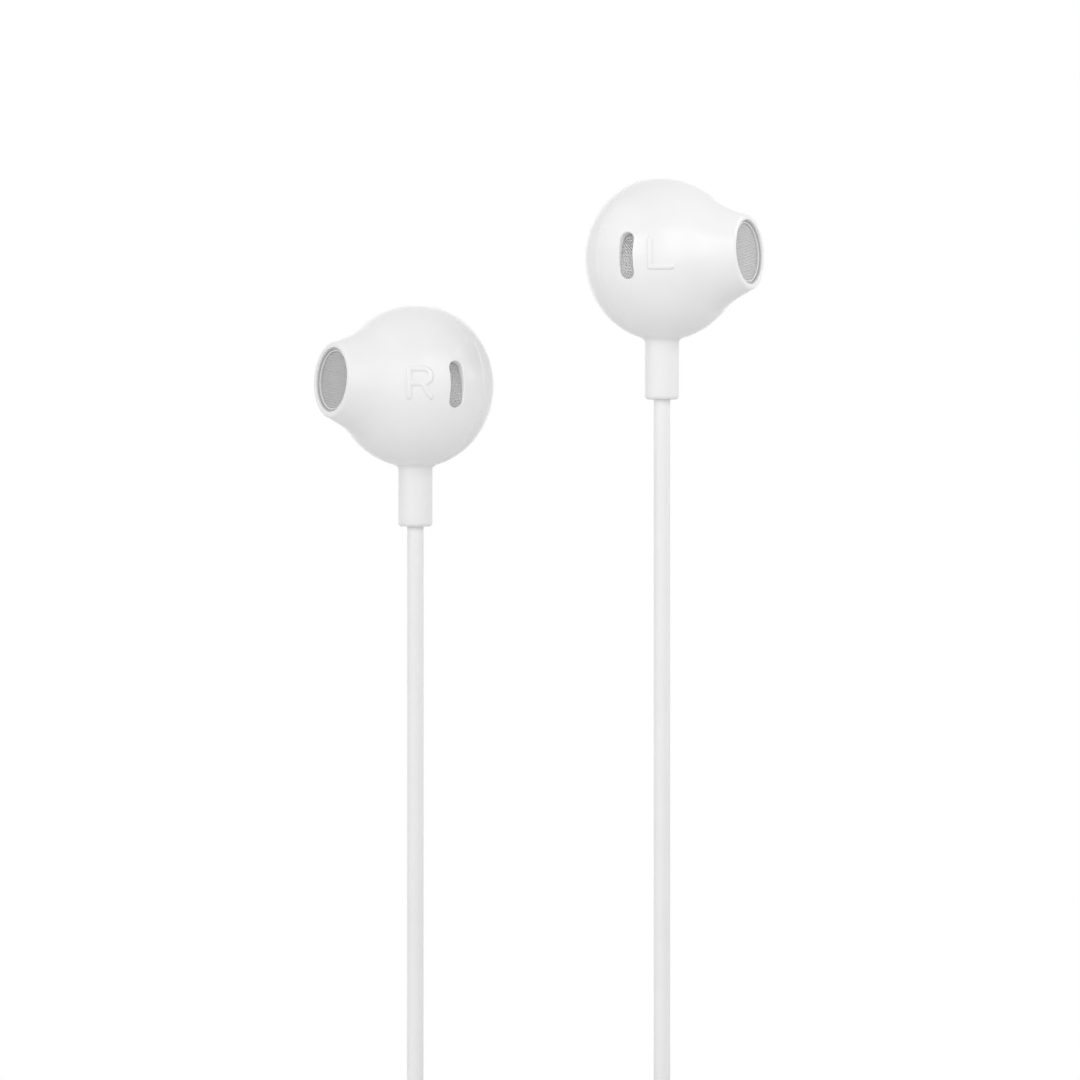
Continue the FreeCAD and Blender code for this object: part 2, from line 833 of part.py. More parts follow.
def lead_wires(bud):
    """Two thin wires from the lead's end to the board, each up and then square onto the board."""
    bend = cell.wire_bend
    board = cell.driver_back - cell.yoke_reach - cell.board_thickness
    turn = -cell.board_drop - bend
    pair = []
    for side in (-1, 1):
        x = side * cell.wire_spacing / 2
        path = [
            line(Vector(x, -lead_top(), 0), Vector(x, turn, 0)),
            arc(
                Vector(x, turn, 0),
                Vector(x, turn + bend * math.sin(math.pi / 4), bend * (1 - math.cos(math.pi / 4))),
                Vector(x, turn + bend, bend),
            ),
            line(Vector(x, turn + bend, bend), Vector(x, turn + bend, board)),
        ]
        section = cord_section(Vector(x, -lead_top(), 0), Vector(0, 1, 0), cell.wire_radius)
        pair.append(Part.Wire(path).makePipeShell([section], True, False))
    shaped(bud.label("lead_wires"), Part.makeCompound(pair), bud.frame)


# Cables


def rounded_route(points, diameter, label):
    """Straight runs joined by tangent arcs, each as large as its two runs allow."""
    edges = []
    start = points[0]
    radii = []
    for before, corner, after in zip(points, points[1:], points[2:]):
        back = (before - corner).normalize()
        ahead = (after - corner).normalize()
        half_turn = (math.pi - back.getAngle(ahead)) / 2
        shorter = min((before - corner).Length, (after - corner).Length)
        setback = 0.45 * shorter
        radius = setback / math.tan(half_turn)
        radii.append(radius)
        first = corner + back * setback
        last = corner + ahead * setback
        centre = corner + (back + ahead).normalize() * (radius / math.cos(half_turn))
        edges.append(line(start, first))
        edges.append(tangent_arc(first, centre, radius, last))
        start = last
    edges.append(line(start, points[-1]))
    if radii:
        least = min(radii)
        print(f"{label}: radii {least:.1f} to {max(radii):.1f} mm, least {least / diameter:.1f} diameters")
    return Part.Wire(edges)


def cord_section(centre, heading, radius):
    """A cable's section: a regular polygon inside its circle, to keep the facets few."""
    count = int(cell.cord_sides)
    turn = Rotation(Z_AXIS, heading)
    corners = []
    for i in range(count):
        angle = 2 * math.pi * i / count
        corners.append(centre + turn.multVec(Vector(math.cos(angle), math.sin(angle), 0)) * radius)
    return Part.makePolygon(corners + corners[:1])


def cord_solid(label, path, diameter):
    """A cable along a path, whose volume is held against its section times its length."""
    start = path.Edges[0].valueAt(path.Edges[0].FirstParameter)
    heading = path.Edges[0].tangentAt(path.Edges[0].FirstParameter)
    section = cord_section(start, heading, diameter / 2)
    solid = path.makePipeShell([section], True, False)
    expected = Part.Face(section).Area * path.Length
    print(f"{label}: length {path.Length:.1f} mm, volume {solid.Volume / expected:.4f} of section x length")
    if abs(solid.Volume / expected - 1) > 0.01:
        raise RuntimeError(label + ": the tube does not fill its route")
    return shaped(label, solid)


def winding_path(crossings, first_side, straight):
    """Half turns between crossings at one level, over the top and under the bottom in turn.

    Each half turn is a half circle that stands on its two crossings, so that all of them meet
    along the vertical. first_side is +1 where the first half turn goes over the top.
    """
    up = first_side
    edges = [line(crossings[0] - Z_AXIS * (straight * up), crossings[0])]
    for start, end in zip(crossings, crossings[1:]):
        centre = (start + end) * 0.5
        edges.append(arc(start, centre + Z_AXIS * (up * (end - start).Length / 2), end))
        up = -up
    edges.append(line(crossings[-1], crossings[-1] + Z_AXIS * (straight * up)))
    return Part.Wire(edges)


def print_least_gap(label, path, diameter):
    """The least gap between turns, measured on points along the winding's centre line."""
    step = 1.0
    points = path.discretize(Distance=step)
    apart = int(3 * diameter / step) + 1
    least = min(
        (a - b).Length
        for i, a in enumerate(points)
        for b in points[i + apart:]
    )
    print(f"{label}: least gap {least - diameter:.2f} mm")
    if least - diameter < 0.4:
        raise RuntimeError(label + ": turns too close")


def bundle_centre_x():
    return -cell.bud_spacing / 2


def splitter_top():
    return -cell.winding_level - cell.splitter_drop


def splitter_depth():
    """The splitter hangs midway between the planes of the two leads."""
    return -cell.lead_pitch / 2


def lead(bud):
    """One lead: out of the boot and straight down, wound three times, and on to the splitter.

    The right lead winds in the plane of the buds, the left one in the plane in front of it.
    """
    diameter = cell.lead_diameter
    pitch = cell.lead_pitch
    level = -cell.winding_level
    plane = 0 if bud.sign < 0 else -pitch
    x = bud.centre.x
    top = bud.centre.z - lead_top()
    entry = Vector(x, plane, level + diameter)
    route = [Vector(x, 0, top), entry]
    if plane != 0:
        route = [
            Vector(x, 0, top),
            Vector(x, 0, level + cell.lead_step_start),
            Vector(x, plane, level + cell.lead_step_end),
            entry,
        ]
    cord_solid(bud.label("lead"), rounded_route(route, diameter, bud.label("lead")), diameter)

    # Inwards by half a pitch each half turn; the last one steps out of the plane
    half_turns = 2 * int(cell.lead_turns)
    way_out = plane - bud.sign * pitch
    crossings = []
    for i in range(half_turns + 1):
        radius = cell.bud_spacing / 2 - i * pitch / 2
        side = bud.sign * (1 if i % 2 == 0 else -1)
        y = way_out if i == half_turns else plane
        crossings.append(Vector(bundle_centre_x() + side * radius, y, level))
    path = winding_path(crossings, -1, diameter)
    print_least_gap(bud.label("lead_coil"), path, diameter)
    cord_solid(bud.label("lead_coil"), path, diameter)

    end = crossings[-1] - Z_AXIS * diameter
    into = Vector(bundle_centre_x() + bud.sign * cell.splitter_pitch / 2, splitter_depth(), splitter_top())
    tail = [
        end,
        end - Z_AXIS * cell.tail_straight,
        into + Z_AXIS * cell.tail_entry,
        into,
    ]
    cord_solid(bud.label("lead_tail"), rounded_route(tail, diameter, bud.label("lead_tail")), diameter)


def main_first_plane():
    """The nearest layer of the main cable lies behind the right lead's tail."""
    return cell.lead_pitch + cell.lead_diameter / 2 + cell.winding_gap + cell.main_diameter / 2


def main_crossings():
    """Crossings of the main cable: spirals in and out by turns, a layer further back each time."""
    level = -cell.winding_level
    radius = cell.main_ring_radius
    inwards = -cell.main_pitch / 2
    depth = main_first_plane()
    side = 1
    crossings = [Vector(bundle_centre_x() + radius, depth, level)]
    for layer in range(int(cell.main_layers)):
        for _ in range(int(cell.main_half_turns)):
            side = -side
            radius += inwards
            crossings.append(Vector(bundle_centre_x() + side * radius, depth, level))
        inwards = -inwards
        if layer + 1 < int(cell.main_layers):
            side = -side
            depth += cell.main_layer_step
            crossings.append(Vector(bundle_centre_x() + side * radius, depth, level))
    return crossings


def main_cable():
    """The main cable: a loop up from the splitter, the wound length and the end at the plug."""
    diameter = cell.main_diameter
    crossings = main_crossings()
    entry = crossings[0] - Z_AXIS * diameter
    low = splitter_top() - cell.splitter_length
    x = bundle_centre_x()
    depth = splitter_depth()
    route = [
        Vector(x, depth, low),
        Vector(x, depth, low - cell.loop_straight),
        Vector(x + cell.loop_turn_across, depth + cell.loop_turn_back, low - cell.loop_drop),
        Vector(x + cell.loop_low_across, depth + cell.loop_low_back, low - cell.loop_drop + cell.loop_lift),
        Vector(x + cell.loop_side_across, entry.y, low - cell.loop_side_drop),
        Vector(entry.x + cell.loop_bulge, entry.y, low + cell.loop_bulge_rise),
        Vector(entry.x + cell.loop_upper_bulge, entry.y, low + cell.loop_upper_rise),
        Vector(entry.x, entry.y, low + cell.loop_top_rise),
        entry,
    ]
    cord_solid("main_cable_loop", rounded_route(route, diameter, "main_cable_loop"), diameter)
    path = winding_path(crossings, 1, diameter)
    print_least_gap("main_cable_coil", path, diameter)
    cord_solid("main_cable_coil", path, diameter)
    start = crossings[-1] - Z_AXIS * diameter
    end = plug_start()
    cord_solid("main_cable_end", rounded_route([start, end], diameter, "main_cable_end"), diameter)


def plug_start():
    """Where the main cable goes into the plug, straight under the last crossing."""
    return main_crossings()[-1] - Z_AXIS * cell.plug_drop


def splitter():
    """The moulded splitter: tapered, with soft corners, flat ends for the three cables."""
    label = "cable_splitter"
    body = doc.addObject("PartDesign::Body", label + "_body")
    sketch = sketch_on(body, label + "_outline", "XZ_Plane")
    draw_outline(
        sketch,
        [
            ("-splitter_top_width / 2", "0"),
            ("-splitter_end_width / 2", "-splitter_length"),
            ("splitter_end_width / 2", "-splitter_length"),
            ("splitter_top_width / 2", "0"),
        ],
    )
    pad = body.newObject("PartDesign::Pad", label + "_pad")
    pad.Profile = sketch
    pad.Midplane = True
    pad.setExpression("Length", bound("splitter_thickness"))
    doc.recompute()
    sides = []
    for number, edge in enumerate(pad.Shape.Edges, start=1):
        if edge.BoundBox.ZLength > cell.splitter_length / 2:
            sides.append(f"Edge{number}")
    soft = body.newObject("PartDesign::Fillet", label + "_round")
    soft.Base = (pad, sides)
    soft.setExpression("Radius", bound("splitter_round"))
    body.Tip = soft
    doc.recompute()
    keep(label, body, Placement(Vector(bundle_centre_x(), splitter_depth(), splitter_top()), Rotation()))


def rounded_block(size, corner, radius):
    """A block whose four edges along X are rounded."""
    block = Part.makeBox(size.x, size.y, size.z, corner)
    edges = [e for e in block.Edges if e.BoundBox.XLength > size.x / 2]
    return block.makeFillet(radius, edges)


def strap():
    """The soft strap round all turns at the top of the bundle."""
    gap = cell.strap_gap
    thick = cell.strap_thickness
    half = cell.strap_width / 2
    lead_inner = cell.bud_spacing / 2 - (cell.lead_turns - 0.5) * cell.lead_pitch - cell.lead_diameter / 2
    inner = min(lead_inner, cell.main_inner_radius - cell.main_diameter / 2)
    outer = max(cell.main_ring_radius + cell.main_diameter / 2,
                cell.bud_spacing / 2 + cell.lead_diameter / 2)
    level = -cell.winding_level
    low = level + math.sqrt(inner**2 - half**2) - gap
    high = level + outer + gap
    # The left lead's last half turn steps forward as it passes under the strap
    near = -1.5 * cell.lead_pitch - cell.lead_diameter / 2 - gap - cell.strap_room
    far = (main_first_plane() + (cell.main_layers - 1) * cell.main_layer_step
           + cell.main_diameter / 2 + gap)
    x = bundle_centre_x() - half
    inside = Vector(cell.strap_width, far - near, high - low)
    outside = Vector(cell.strap_width, far - near + 2 * thick, high - low + 2 * thick)
    hole = rounded_block(inside, Vector(x, near, low), cell.strap_round)
    band = rounded_block(outside, Vector(x, near - thick, low - thick), cell.strap_round + thick)
    shaped("cable_strap", band.cut(hole))


# The plug


def plug():
    """A straight 3.5 mm stereo plug that hangs at the end of the main cable, tip down."""
    end = plug_start()
    # Turned pieces are drawn with the axis pointing down the plug
    place = Placement(end, Rotation(Vector(1, 0, 0), 180))
    plug_grip(place)
    shoulder = "relief_length + grip_length + collar_length"
    sleeve_end = shoulder + " + sleeve_length"
    bore = "core_radius + glue_gap"
    turned(
        "plug_sleeve",
        [
            (bore, "relief_length + grip_length"),
            ("collar_radius", "relief_length + grip_length"),
            ("collar_radius", shoulder),
            ("shank_radius", shoulder),
            ("shank_radius", sleeve_end),
            (bore, sleeve_end),
        ],
        place,
    )
    ring_low = sleeve_end + " + insulator_length"
    ring_high = ring_low + " + contact_ring_length"
    turned(
        "plug_contact_ring",
        [(bore, ring_low), ("shank_radius", ring_low), ("shank_radius", ring_high), (bore, ring_high)],
        place,
    )
    insulators(place)
    tip(place, ring_high + " + insulator_length")
    disc(
        "plug_core",
        "core_radius",
        "core_depth + collar_length + sleeve_length + 2 * insulator_length + contact_ring_length",
        "relief_length + grip_length - core_depth",
        place,
    )


def plug_grip(place):
    """The moulded grip with its tapered, grooved strain relief."""
    length = cell.relief_length
    count = int(cell.relief_groove_count)
    slope = (cell.relief_end_radius - cell.relief_start_radius) / length
    radius = cell.grip_radius
    bend = cell.grip_chamfer
    total = length + cell.grip_length
    corners = [Vector(0, 0, 0), Vector(cell.relief_start_radius, 0, 0)]
    for i in range(count):
        start = length * (i + 1) / (count + 1) - cell.relief_groove_width / 2
        end = start + cell.relief_groove_width
        for z, sink in ((start, 0), (start, 1), (end, 1), (end, 0)):
            depth = sink * cell.relief_groove_depth
            corners.append(Vector(cell.relief_start_radius + slope * z - depth, 0, z))
    corners.append(Vector(cell.relief_end_radius, 0, length))
    corners.append(Vector(radius - bend, 0, length))
    edges = [line(a, b) for a, b in zip(corners, corners[1:])]
    side = Vector(radius, 0, length + bend)
    edges.append(line(corners[-1], side))
    edges.append(line(side, Vector(radius, 0, total - bend / 2)))
    edges.append(line(Vector(radius, 0, total - bend / 2), Vector(radius - bend / 2, 0, total)))
    edges.append(line(Vector(radius - bend / 2, 0, total), Vector(0, 0, total)))
    edges.append(line(Vector(0, 0, total), Vector(0, 0, 0)))
    grip = spun(edges)
    bore = Part.makeCylinder(
        cell.core_radius + cell.glue_gap, cell.core_depth + 1, Vector(0, 0, total - cell.core_depth)
    )
    shaped("plug_grip", grip.cut(bore), place)


def insulators(place):
    """The two insulating bands, one each side of the contact ring."""
    first = cell.relief_length + cell.grip_length + cell.collar_length + cell.sleeve_length
    second = first + cell.insulator_length + cell.contact_ring_length
    bore = cell.core_radius + cell.glue_gap
    bands = [
        ring(bore, cell.shank_radius, low, low + cell.insulator_length) for low in (first, second)
    ]
    shaped("plug_insulators", Part.makeCompound(bands), place)


def tip(place, start):
    """The contact tip: a waist that the socket's spring clicks into, and a blunt cone."""
    at = "(" + start + ")"
    turned(
        "plug_tip",
        [
            ("0", at),
            ("shank_radius", at),
            ("shank_radius", at + " + tip_length * 0.1"),
            ("tip_waist_radius", at + " + tip_length * 0.3"),
            ("tip_bulge_radius", at + " + tip_length * 0.5"),
            ("tip_bulge_radius", at + " + tip_length * 0.6"),
            ("tip_end_radius", at + " + tip_length"),
            ("0", at + " + tip_length"),
        ],
        place,
    )


def check_document():
    """Stop if any object failed or any sub-part is empty or broken."""
    doc.recompute()
    for thing in doc.Objects:
        if "Invalid" in thing.State or "Error" in thing.State:
            raise RuntimeError(f"{thing.Label}: {thing.State}")
    for node in nodes:
        if node.Shape.isNull() or not node.Shape.isValid() or not node.Shape.Solids:
            raise RuntimeError(node.Label + ": no valid solid")


def main():
    for bud in (Bud("left"), Bud("right")):
        front_housing(bud)
        rear_cover(bud)
        grille(bud)
        vent_mesh(bud)
        driver(bud)
        terminal_board(bud)
        cable_boot(bud)
        cable_crimp(bud)
        lead_wires(bud)
        lead(bud)
    main_cable()
    splitter()
    strap()
    plug()
    check_document()
    os.makedirs("parts", exist_ok=True)
    for node in nodes:
        node.Shape.exportStep(f"parts/{node.Label}.step")
    print(f"{len(nodes)} sub-parts")


main()
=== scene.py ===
import logging
import math
from dataclasses import dataclass, field
from enum import Enum

import bmesh
import bpy
import numpy as np
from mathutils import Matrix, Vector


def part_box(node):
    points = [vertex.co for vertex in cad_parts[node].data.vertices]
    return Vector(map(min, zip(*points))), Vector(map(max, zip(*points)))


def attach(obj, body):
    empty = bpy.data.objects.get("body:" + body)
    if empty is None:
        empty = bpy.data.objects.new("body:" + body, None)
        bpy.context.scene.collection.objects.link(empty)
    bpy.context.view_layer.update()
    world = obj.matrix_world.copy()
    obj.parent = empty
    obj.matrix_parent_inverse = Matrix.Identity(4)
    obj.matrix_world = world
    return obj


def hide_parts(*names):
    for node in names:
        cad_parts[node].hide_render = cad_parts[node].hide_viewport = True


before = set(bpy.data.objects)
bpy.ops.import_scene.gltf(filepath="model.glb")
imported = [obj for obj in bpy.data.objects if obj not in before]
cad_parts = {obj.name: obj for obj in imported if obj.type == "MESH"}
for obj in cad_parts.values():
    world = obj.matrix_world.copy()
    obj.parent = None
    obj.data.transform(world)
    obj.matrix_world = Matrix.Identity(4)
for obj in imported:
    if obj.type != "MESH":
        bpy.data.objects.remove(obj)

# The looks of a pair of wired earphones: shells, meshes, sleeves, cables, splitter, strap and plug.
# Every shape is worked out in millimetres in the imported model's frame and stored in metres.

MM = 0.001
# Edges sharper than this angle in degrees stay crisp, unless a piece names its own
CREASE = 35.0
# Points nearer to each other than this, in metres, are joined
SAME_POINT = 1e-7
log = logging.getLogger("earphones")


# Small tools


def linear(hex_colour: str) -> tuple[float, float, float, float]:
    """Turn an sRGB hex colour into linear light.

    Args:
        hex_colour: Six hex digits, such as "f2f2f0".

    Returns:
        Red, green, blue and alpha, where alpha is 1.
    """
    parts = [int(hex_colour[i:i + 2], 16) / 255 for i in (0, 2, 4)]
    light = [p / 12.92 if p <= 0.04045 else ((p + 0.055) / 1.055) ** 2.4 for p in parts]
    return (light[0], light[1], light[2], 1.0)


def per_metre(size_mm: float) -> float:
    """The texture scale on coordinates in metres at which one cell is size_mm across."""
    return 1.0 / (size_mm * MM)


def add_node(
    tree: bpy.types.NodeTree,
    kind: str,
    settings: dict[str, object] | None = None,
    inputs: dict[str | int, object] | None = None,
) -> bpy.types.Node:
    """Add a node, set its properties, and set or link its inputs.

    Args:
        tree: The node tree that the node joins.
        kind: The node's Blender type.
        settings: Property values by name.
        inputs: Socket values by name or number; an output socket is linked instead of set.

    Returns:
        The new node.
    """
    node = tree.nodes.new(kind)
    for key, value in (settings or {}).items():
        setattr(node, key, value)
    for key, value in (inputs or {}).items():
        if isinstance(value, bpy.types.NodeSocket):
            tree.links.new(value, node.inputs[key])
        else:
            node.inputs[key].default_value = value
    return node


def turned_by(axis: str, degrees: float) -> np.ndarray:
    """A 4x4 turn about one of the axes x, y or z.

    Args:
        axis: The axis' letter.
        degrees: The angle, counted as the right hand curls.

    Returns:
        The matrix, for column vectors.
    """
    first, second = {"x": (1, 2), "y": (2, 0), "z": (0, 1)}[axis]
    matrix = np.eye(4)
    angle = math.radians(degrees)
    matrix[first, first] = matrix[second, second] = math.cos(angle)
    matrix[first, second] = -math.sin(angle)
    matrix[second, first] = math.sin(angle)
    return matrix


def moved_to(x: float, y: float, z: float) -> np.ndarray:
    """A 4x4 shift.

    Args:
        x: How far along x, in millimetres.
        y: How far along y.
        z: How far along z.

    Returns:
        The matrix, for column vectors.
    """
    matrix = np.eye(4)
    matrix[:3, 3] = (x, y, z)
    return matrix


def placed(points: np.ndarray, place: np.ndarray) -> np.ndarray:
    """Points of any array shape (..., 3) carried by a 4x4 matrix."""
    return points @ place[:3, :3].T + place[:3, 3]


def arc(
    centre: tuple[float, float], radius: float, start: float, end: float, count: int
) -> np.ndarray:
    """A round stretch of a section.

    Formula: centre + radius * (cos a, sin a), with a in even steps from start to end.

    Args:
        centre: The arc's centre.
        radius: The arc's radius.
        start: First angle in degrees.
        end: Last angle in degrees.
        count: How many points, both ends among them.

    Returns:
        Points of shape (count, 2).
    """
    angle = np.radians(np.linspace(start, end, count))
    across = centre[0] + radius * np.cos(angle)
    return np.stack([across, centre[1] + radius * np.sin(angle)], axis=1)


def straight(start: tuple[float, float], end: tuple[float, float], count: int) -> np.ndarray:
    """Even steps along a straight stretch of a section, both ends among them."""
    return np.linspace(np.array(start, float), np.array(end, float), count)


def chain(*runs: np.ndarray) -> np.ndarray:
    """One line of several runs, where each starts in the point that the last one ended in."""
    return np.concatenate([runs[0], *(run[1:] for run in runs[1:])])


def spun(section: np.ndarray, columns: int) -> np.ndarray:
    """Carry a section round the z axis.

    Formula: the point (r, z) of the section goes to (r cos a, r sin a, z) for even angles a.

    Args:
        section: Points (rows, 2), each a radius and a height.
        columns: How many steps make the full turn.

    Returns:
        A grid (rows, columns, 3).
    """
    angle = np.linspace(0, 2 * math.pi, columns, endpoint=False)
    radius = section[:, :1]
    height = np.repeat(section[:, 1:], columns, axis=1)
    return np.stack([radius * np.cos(angle), radius * np.sin(angle), height], axis=2)


class Loop(Enum):
    """Which ways of a grid run round and meet themselves."""

    COLUMNS = "columns"
    BOTH = "both"
    NEITHER = "neither"


def surface(
    name: str, grids: np.ndarray, loop: Loop = Loop.COLUMNS, crease: float = CREASE
) -> bpy.types.Object:
    """Make one mesh of one or many grids of points.

    Each cell of a grid is a face; points in the same place are joined, so a row that shrinks to
    a point closes the surface there.

    Args:
        name: The piece's name.
        grids: Points in millimetres, of shape (rows, columns, 3) or (grids, rows, columns, 3).
        loop: Which ways of the grid close on themselves.
        crease: Edges sharper than this angle in degrees stay crisp.

    Returns:
        The piece, with its place in its mesh.
    """
    if grids.ndim == 3:
        grids = grids[None]
    count, rows, columns, _ = grids.shape
    down = np.arange(rows if loop is Loop.BOTH else rows - 1)
    across = np.arange(columns - 1 if loop is Loop.NEITHER else columns)
    which, row, column = np.meshgrid(np.arange(count), down, across, indexing="ij")
    base = which * rows * columns
    here = base + row * columns
    below = base + (row + 1) % rows * columns
    beside = (column + 1) % columns
    quads = np.stack([here + column, here + beside, below + beside, below + column], axis=-1)
    quads = quads.reshape(-1, 4)
    mesh = bpy.data.meshes.new(name)
    mesh.vertices.add(count * rows * columns)
    mesh.vertices.foreach_set("co", (grids * MM).ravel())
    mesh.loops.add(quads.size)
    mesh.loops.foreach_set("vertex_index", quads.ravel())
    mesh.polygons.add(len(quads))
    mesh.polygons.foreach_set("loop_start", np.arange(0, quads.size, 4))
    mesh.update(calc_edges=True)
    work = bmesh.new()
    work.from_mesh(mesh)
    bmesh.ops.remove_doubles(work, verts=work.verts, dist=SAME_POINT)
    bmesh.ops.recalc_face_normals(work, faces=work.faces)
    work.to_mesh(mesh)
    work.free()
    smoothed(mesh, crease)
    return shown(name, mesh)


def smoothed(mesh: bpy.types.Mesh, crease: float = CREASE) -> None:
    """Shade a mesh smooth, up to the crease angle in degrees."""
    mesh.shade_smooth()
    mesh.set_sharp_from_angle(angle=math.radians(crease))


def shown(name: str, data: bpy.types.Mesh | bpy.types.Curve) -> bpy.types.Object:
    """Put a shape into the scene as a piece.

    Args:
        name: The piece's name.
        data: Its mesh or curve.

    Returns:
        The piece.
    """
    piece = bpy.data.objects.new(name, data)
    bpy.context.scene.collection.objects.link(piece)
    return piece


def applied(piece: bpy.types.Object) -> None:
    """Bake the piece's modifiers into its mesh.

    Args:
        piece: The piece, which keeps its name and loses its modifiers.
    """
    graph = bpy.context.evaluated_depsgraph_get()
    mesh = bpy.data.meshes.new_from_object(piece.evaluated_get(graph), depsgraph=graph)
    old = piece.data
    piece.modifiers.clear()
    piece.data = mesh
    mesh.name = piece.name
    bpy.data.meshes.remove(old)


def cut_away(piece: bpy.types.Object, cutter: bpy.types.Object) -> None:
    """Cut one closed piece out of another.

    Args:
        piece: The piece that gets the opening.
        cutter: A closed form that fills the opening, which is used up.
    """
    cut = piece.modifiers.new("opening", "BOOLEAN")
    cut.operation = "DIFFERENCE"
    cut.solver = "EXACT"
    cut.object = cutter
    applied(piece)
    bpy.data.objects.remove(cutter)
    smoothed(piece.data)


# Finishes, each named for the real material


def new_material(
    name: str, values: dict[str, object]
) -> tuple[bpy.types.Material, bpy.types.NodeTree, bpy.types.Node, bpy.types.NodeSocket]:
    """A fresh material with one Principled shader.

    Args:
        name: The real material's name.
        values: What is the same all over the surface, by the shader's own socket names.

    Returns:
        The material, its node tree, its shader, and the place on the piece for its patterns.
    """
    material = bpy.data.materials.new(name)
    material.use_nodes = True
    tree = material.node_tree
    shader = tree.nodes["Principled BSDF"]
    for socket, value in values.items():
        shader.inputs[socket].default_value = value
    return material, tree, shader, add_node(tree, "ShaderNodeTexCoord").outputs["Object"]


def marked(
    tree: bpy.types.NodeTree,
    shader: bpy.types.Node,
    dents: list[tuple[bpy.types.NodeSocket, float]],
    tones: tuple[bpy.types.NodeSocket, tuple[float, str], tuple[float, str]] | None = None,
    inwards: bool = False,
) -> None:
    """Dent a surface by its patterns, and let one of them blend its colour between two tones.

    Args:
        tree: The material's node tree.
        shader: The material's shader.
        dents: Each pattern's value and its depth in millimetres, laid one over another.
        tones: The colour's pattern, and a low and a high value of it with the sRGB colour of each.
        inwards: Whether high values of the pattern go in.
    """
    normal = None
    for height, depth in dents:
        inputs = {"Height": height, "Distance": depth * MM, "Strength": 1.0}
        if normal is not None:
            inputs["Normal"] = normal
        bump = add_node(tree, "ShaderNodeBump", {"invert": inwards}, inputs)
        normal = bump.outputs["Normal"]
    tree.links.new(normal, shader.inputs["Normal"])
    if tones is not None:
        ramp = add_node(tree, "ShaderNodeValToRGB", inputs={"Fac": tones[0]})
        for stop, (value, colour) in zip(ramp.color_ramp.elements, tones[1:]):
            stop.position = value
            stop.color = linear(colour)
        tree.links.new(ramp.outputs["Color"], shader.inputs["Base Color"])


@dataclass(frozen=True)
class MouldedPlastic:
    """Hard or soft plastic from a mould or die: smooth, faintly wavy where the melt flowed."""

    name: str
    colour: str
    shade: str
    roughness: float = 0.2
    ior: float = 1.54
    drift_mm: float = 9.0
    wave_mm: float = 2.2
    wave_depth_mm: float = 0.004
    grain_mm: float = 0.25
    grain_depth_mm: float = 0.0

    def build(self) -> bpy.types.Material:
        """Colour drifts slowly between two tones; a slow wave dents it, and a grain if there is one.

        Returns:
            The material.
        """
        material, tree, shader, place = new_material(
            self.name, {"Roughness": self.roughness, "IOR": self.ior}
        )
        layers = [(self.drift_mm, 2.0, 0.0), (self.wave_mm, 1.0, self.wave_depth_mm)]
        if self.grain_depth_mm > 0:
            layers.append((self.grain_mm, 3.0, self.grain_depth_mm))
        noises = []
        for size, detail, depth in layers:
            inputs = {"Vector": place, "Scale": per_metre(size), "Detail": detail}
            noise = add_node(tree, "ShaderNodeTexNoise", inputs=inputs)
            noises.append((noise.outputs["Fac"], depth))
        tones = (noises[0][0], (0.35, self.shade), (0.65, self.colour))
        marked(tree, shader, noises[1:], tones)
        return material


@dataclass(frozen=True)
class Metal:
    """Drawn, rolled or plated metal with faint lines or spots from how it was made."""

    name: str
    colour: str
    shade: str
    roughness: float
    mark_mm: float = 0.3
    mark_depth_mm: float = 0.002
    stretch: tuple[float, float, float] = (1.0, 1.0, 1.0)

    def build(self) -> bpy.types.Material:
        """The marks are noise, drawn out along the way that the metal was worked.

        Returns:
            The material.
        """
        material, tree, shader, place = new_material(
            self.name, {"Roughness": self.roughness, "Metallic": 1.0}
        )
        drawn = add_node(tree, "ShaderNodeMapping", inputs={"Vector": place, "Scale": self.stretch})
        inputs = {"Vector": drawn.outputs["Vector"], "Scale": per_metre(self.mark_mm), "Detail": 3.0}
        marks = add_node(tree, "ShaderNodeTexNoise", inputs=inputs).outputs["Fac"]
        tones = (marks, (0.3, self.shade), (0.7, self.colour))
        marked(tree, shader, [(marks, self.mark_depth_mm)], tones)
        return material


@dataclass(frozen=True)
class Fibre:
    """Felt, foam or woven cloth: matt, with a fibrous or cellular surface."""

    name: str
    colour: str
    shade: str
    cell_mm: float
    depth_mm: float
    roughness: float = 0.95
    sheen: float = 0.2

    def build(self) -> bpy.types.Material:
        """Cells of a Voronoi pattern darken and dent the surface, as gaps between fibres do.

        Returns:
            The material.
        """
        material, tree, shader, place = new_material(
            self.name, {"Roughness": self.roughness, "Sheen Weight": self.sheen}
        )
        inputs = {"Vector": place, "Scale": per_metre(self.cell_mm)}
        cells = add_node(tree, "ShaderNodeTexVoronoi", inputs=inputs).outputs["Distance"]
        tones = (cells, (0.0, self.colour), (0.8, self.shade))
        marked(tree, shader, [(cells, self.depth_mm)], tones, inwards=True)
        return material


@dataclass(frozen=True)
class PolyesterFilm:
    """Thin formed film with fine marks of the press: clear amber, glossy."""

    name: str
    colour: str
    roughness: float = 0.15
    ior: float = 1.64
    mark_mm: float = 0.8
    mark_depth_mm: float = 0.01

    def build(self) -> bpy.types.Material:
        """Fine noise stands for the press marks in the film.

        Returns:
            The material.
        """
        values = {"Base Color": linear(self.colour), "Roughness": self.roughness, "IOR": self.ior}
        material, tree, shader, place = new_material(self.name, values)
        inputs = {"Vector": place, "Scale": per_metre(self.mark_mm), "Detail": 2.0}
        marks = add_node(tree, "ShaderNodeTexNoise", inputs=inputs).outputs["Fac"]
        marked(tree, shader, [(marks, self.mark_depth_mm)])
        return material


Finish = MouldedPlastic | Metal | Fibre | PolyesterFilm

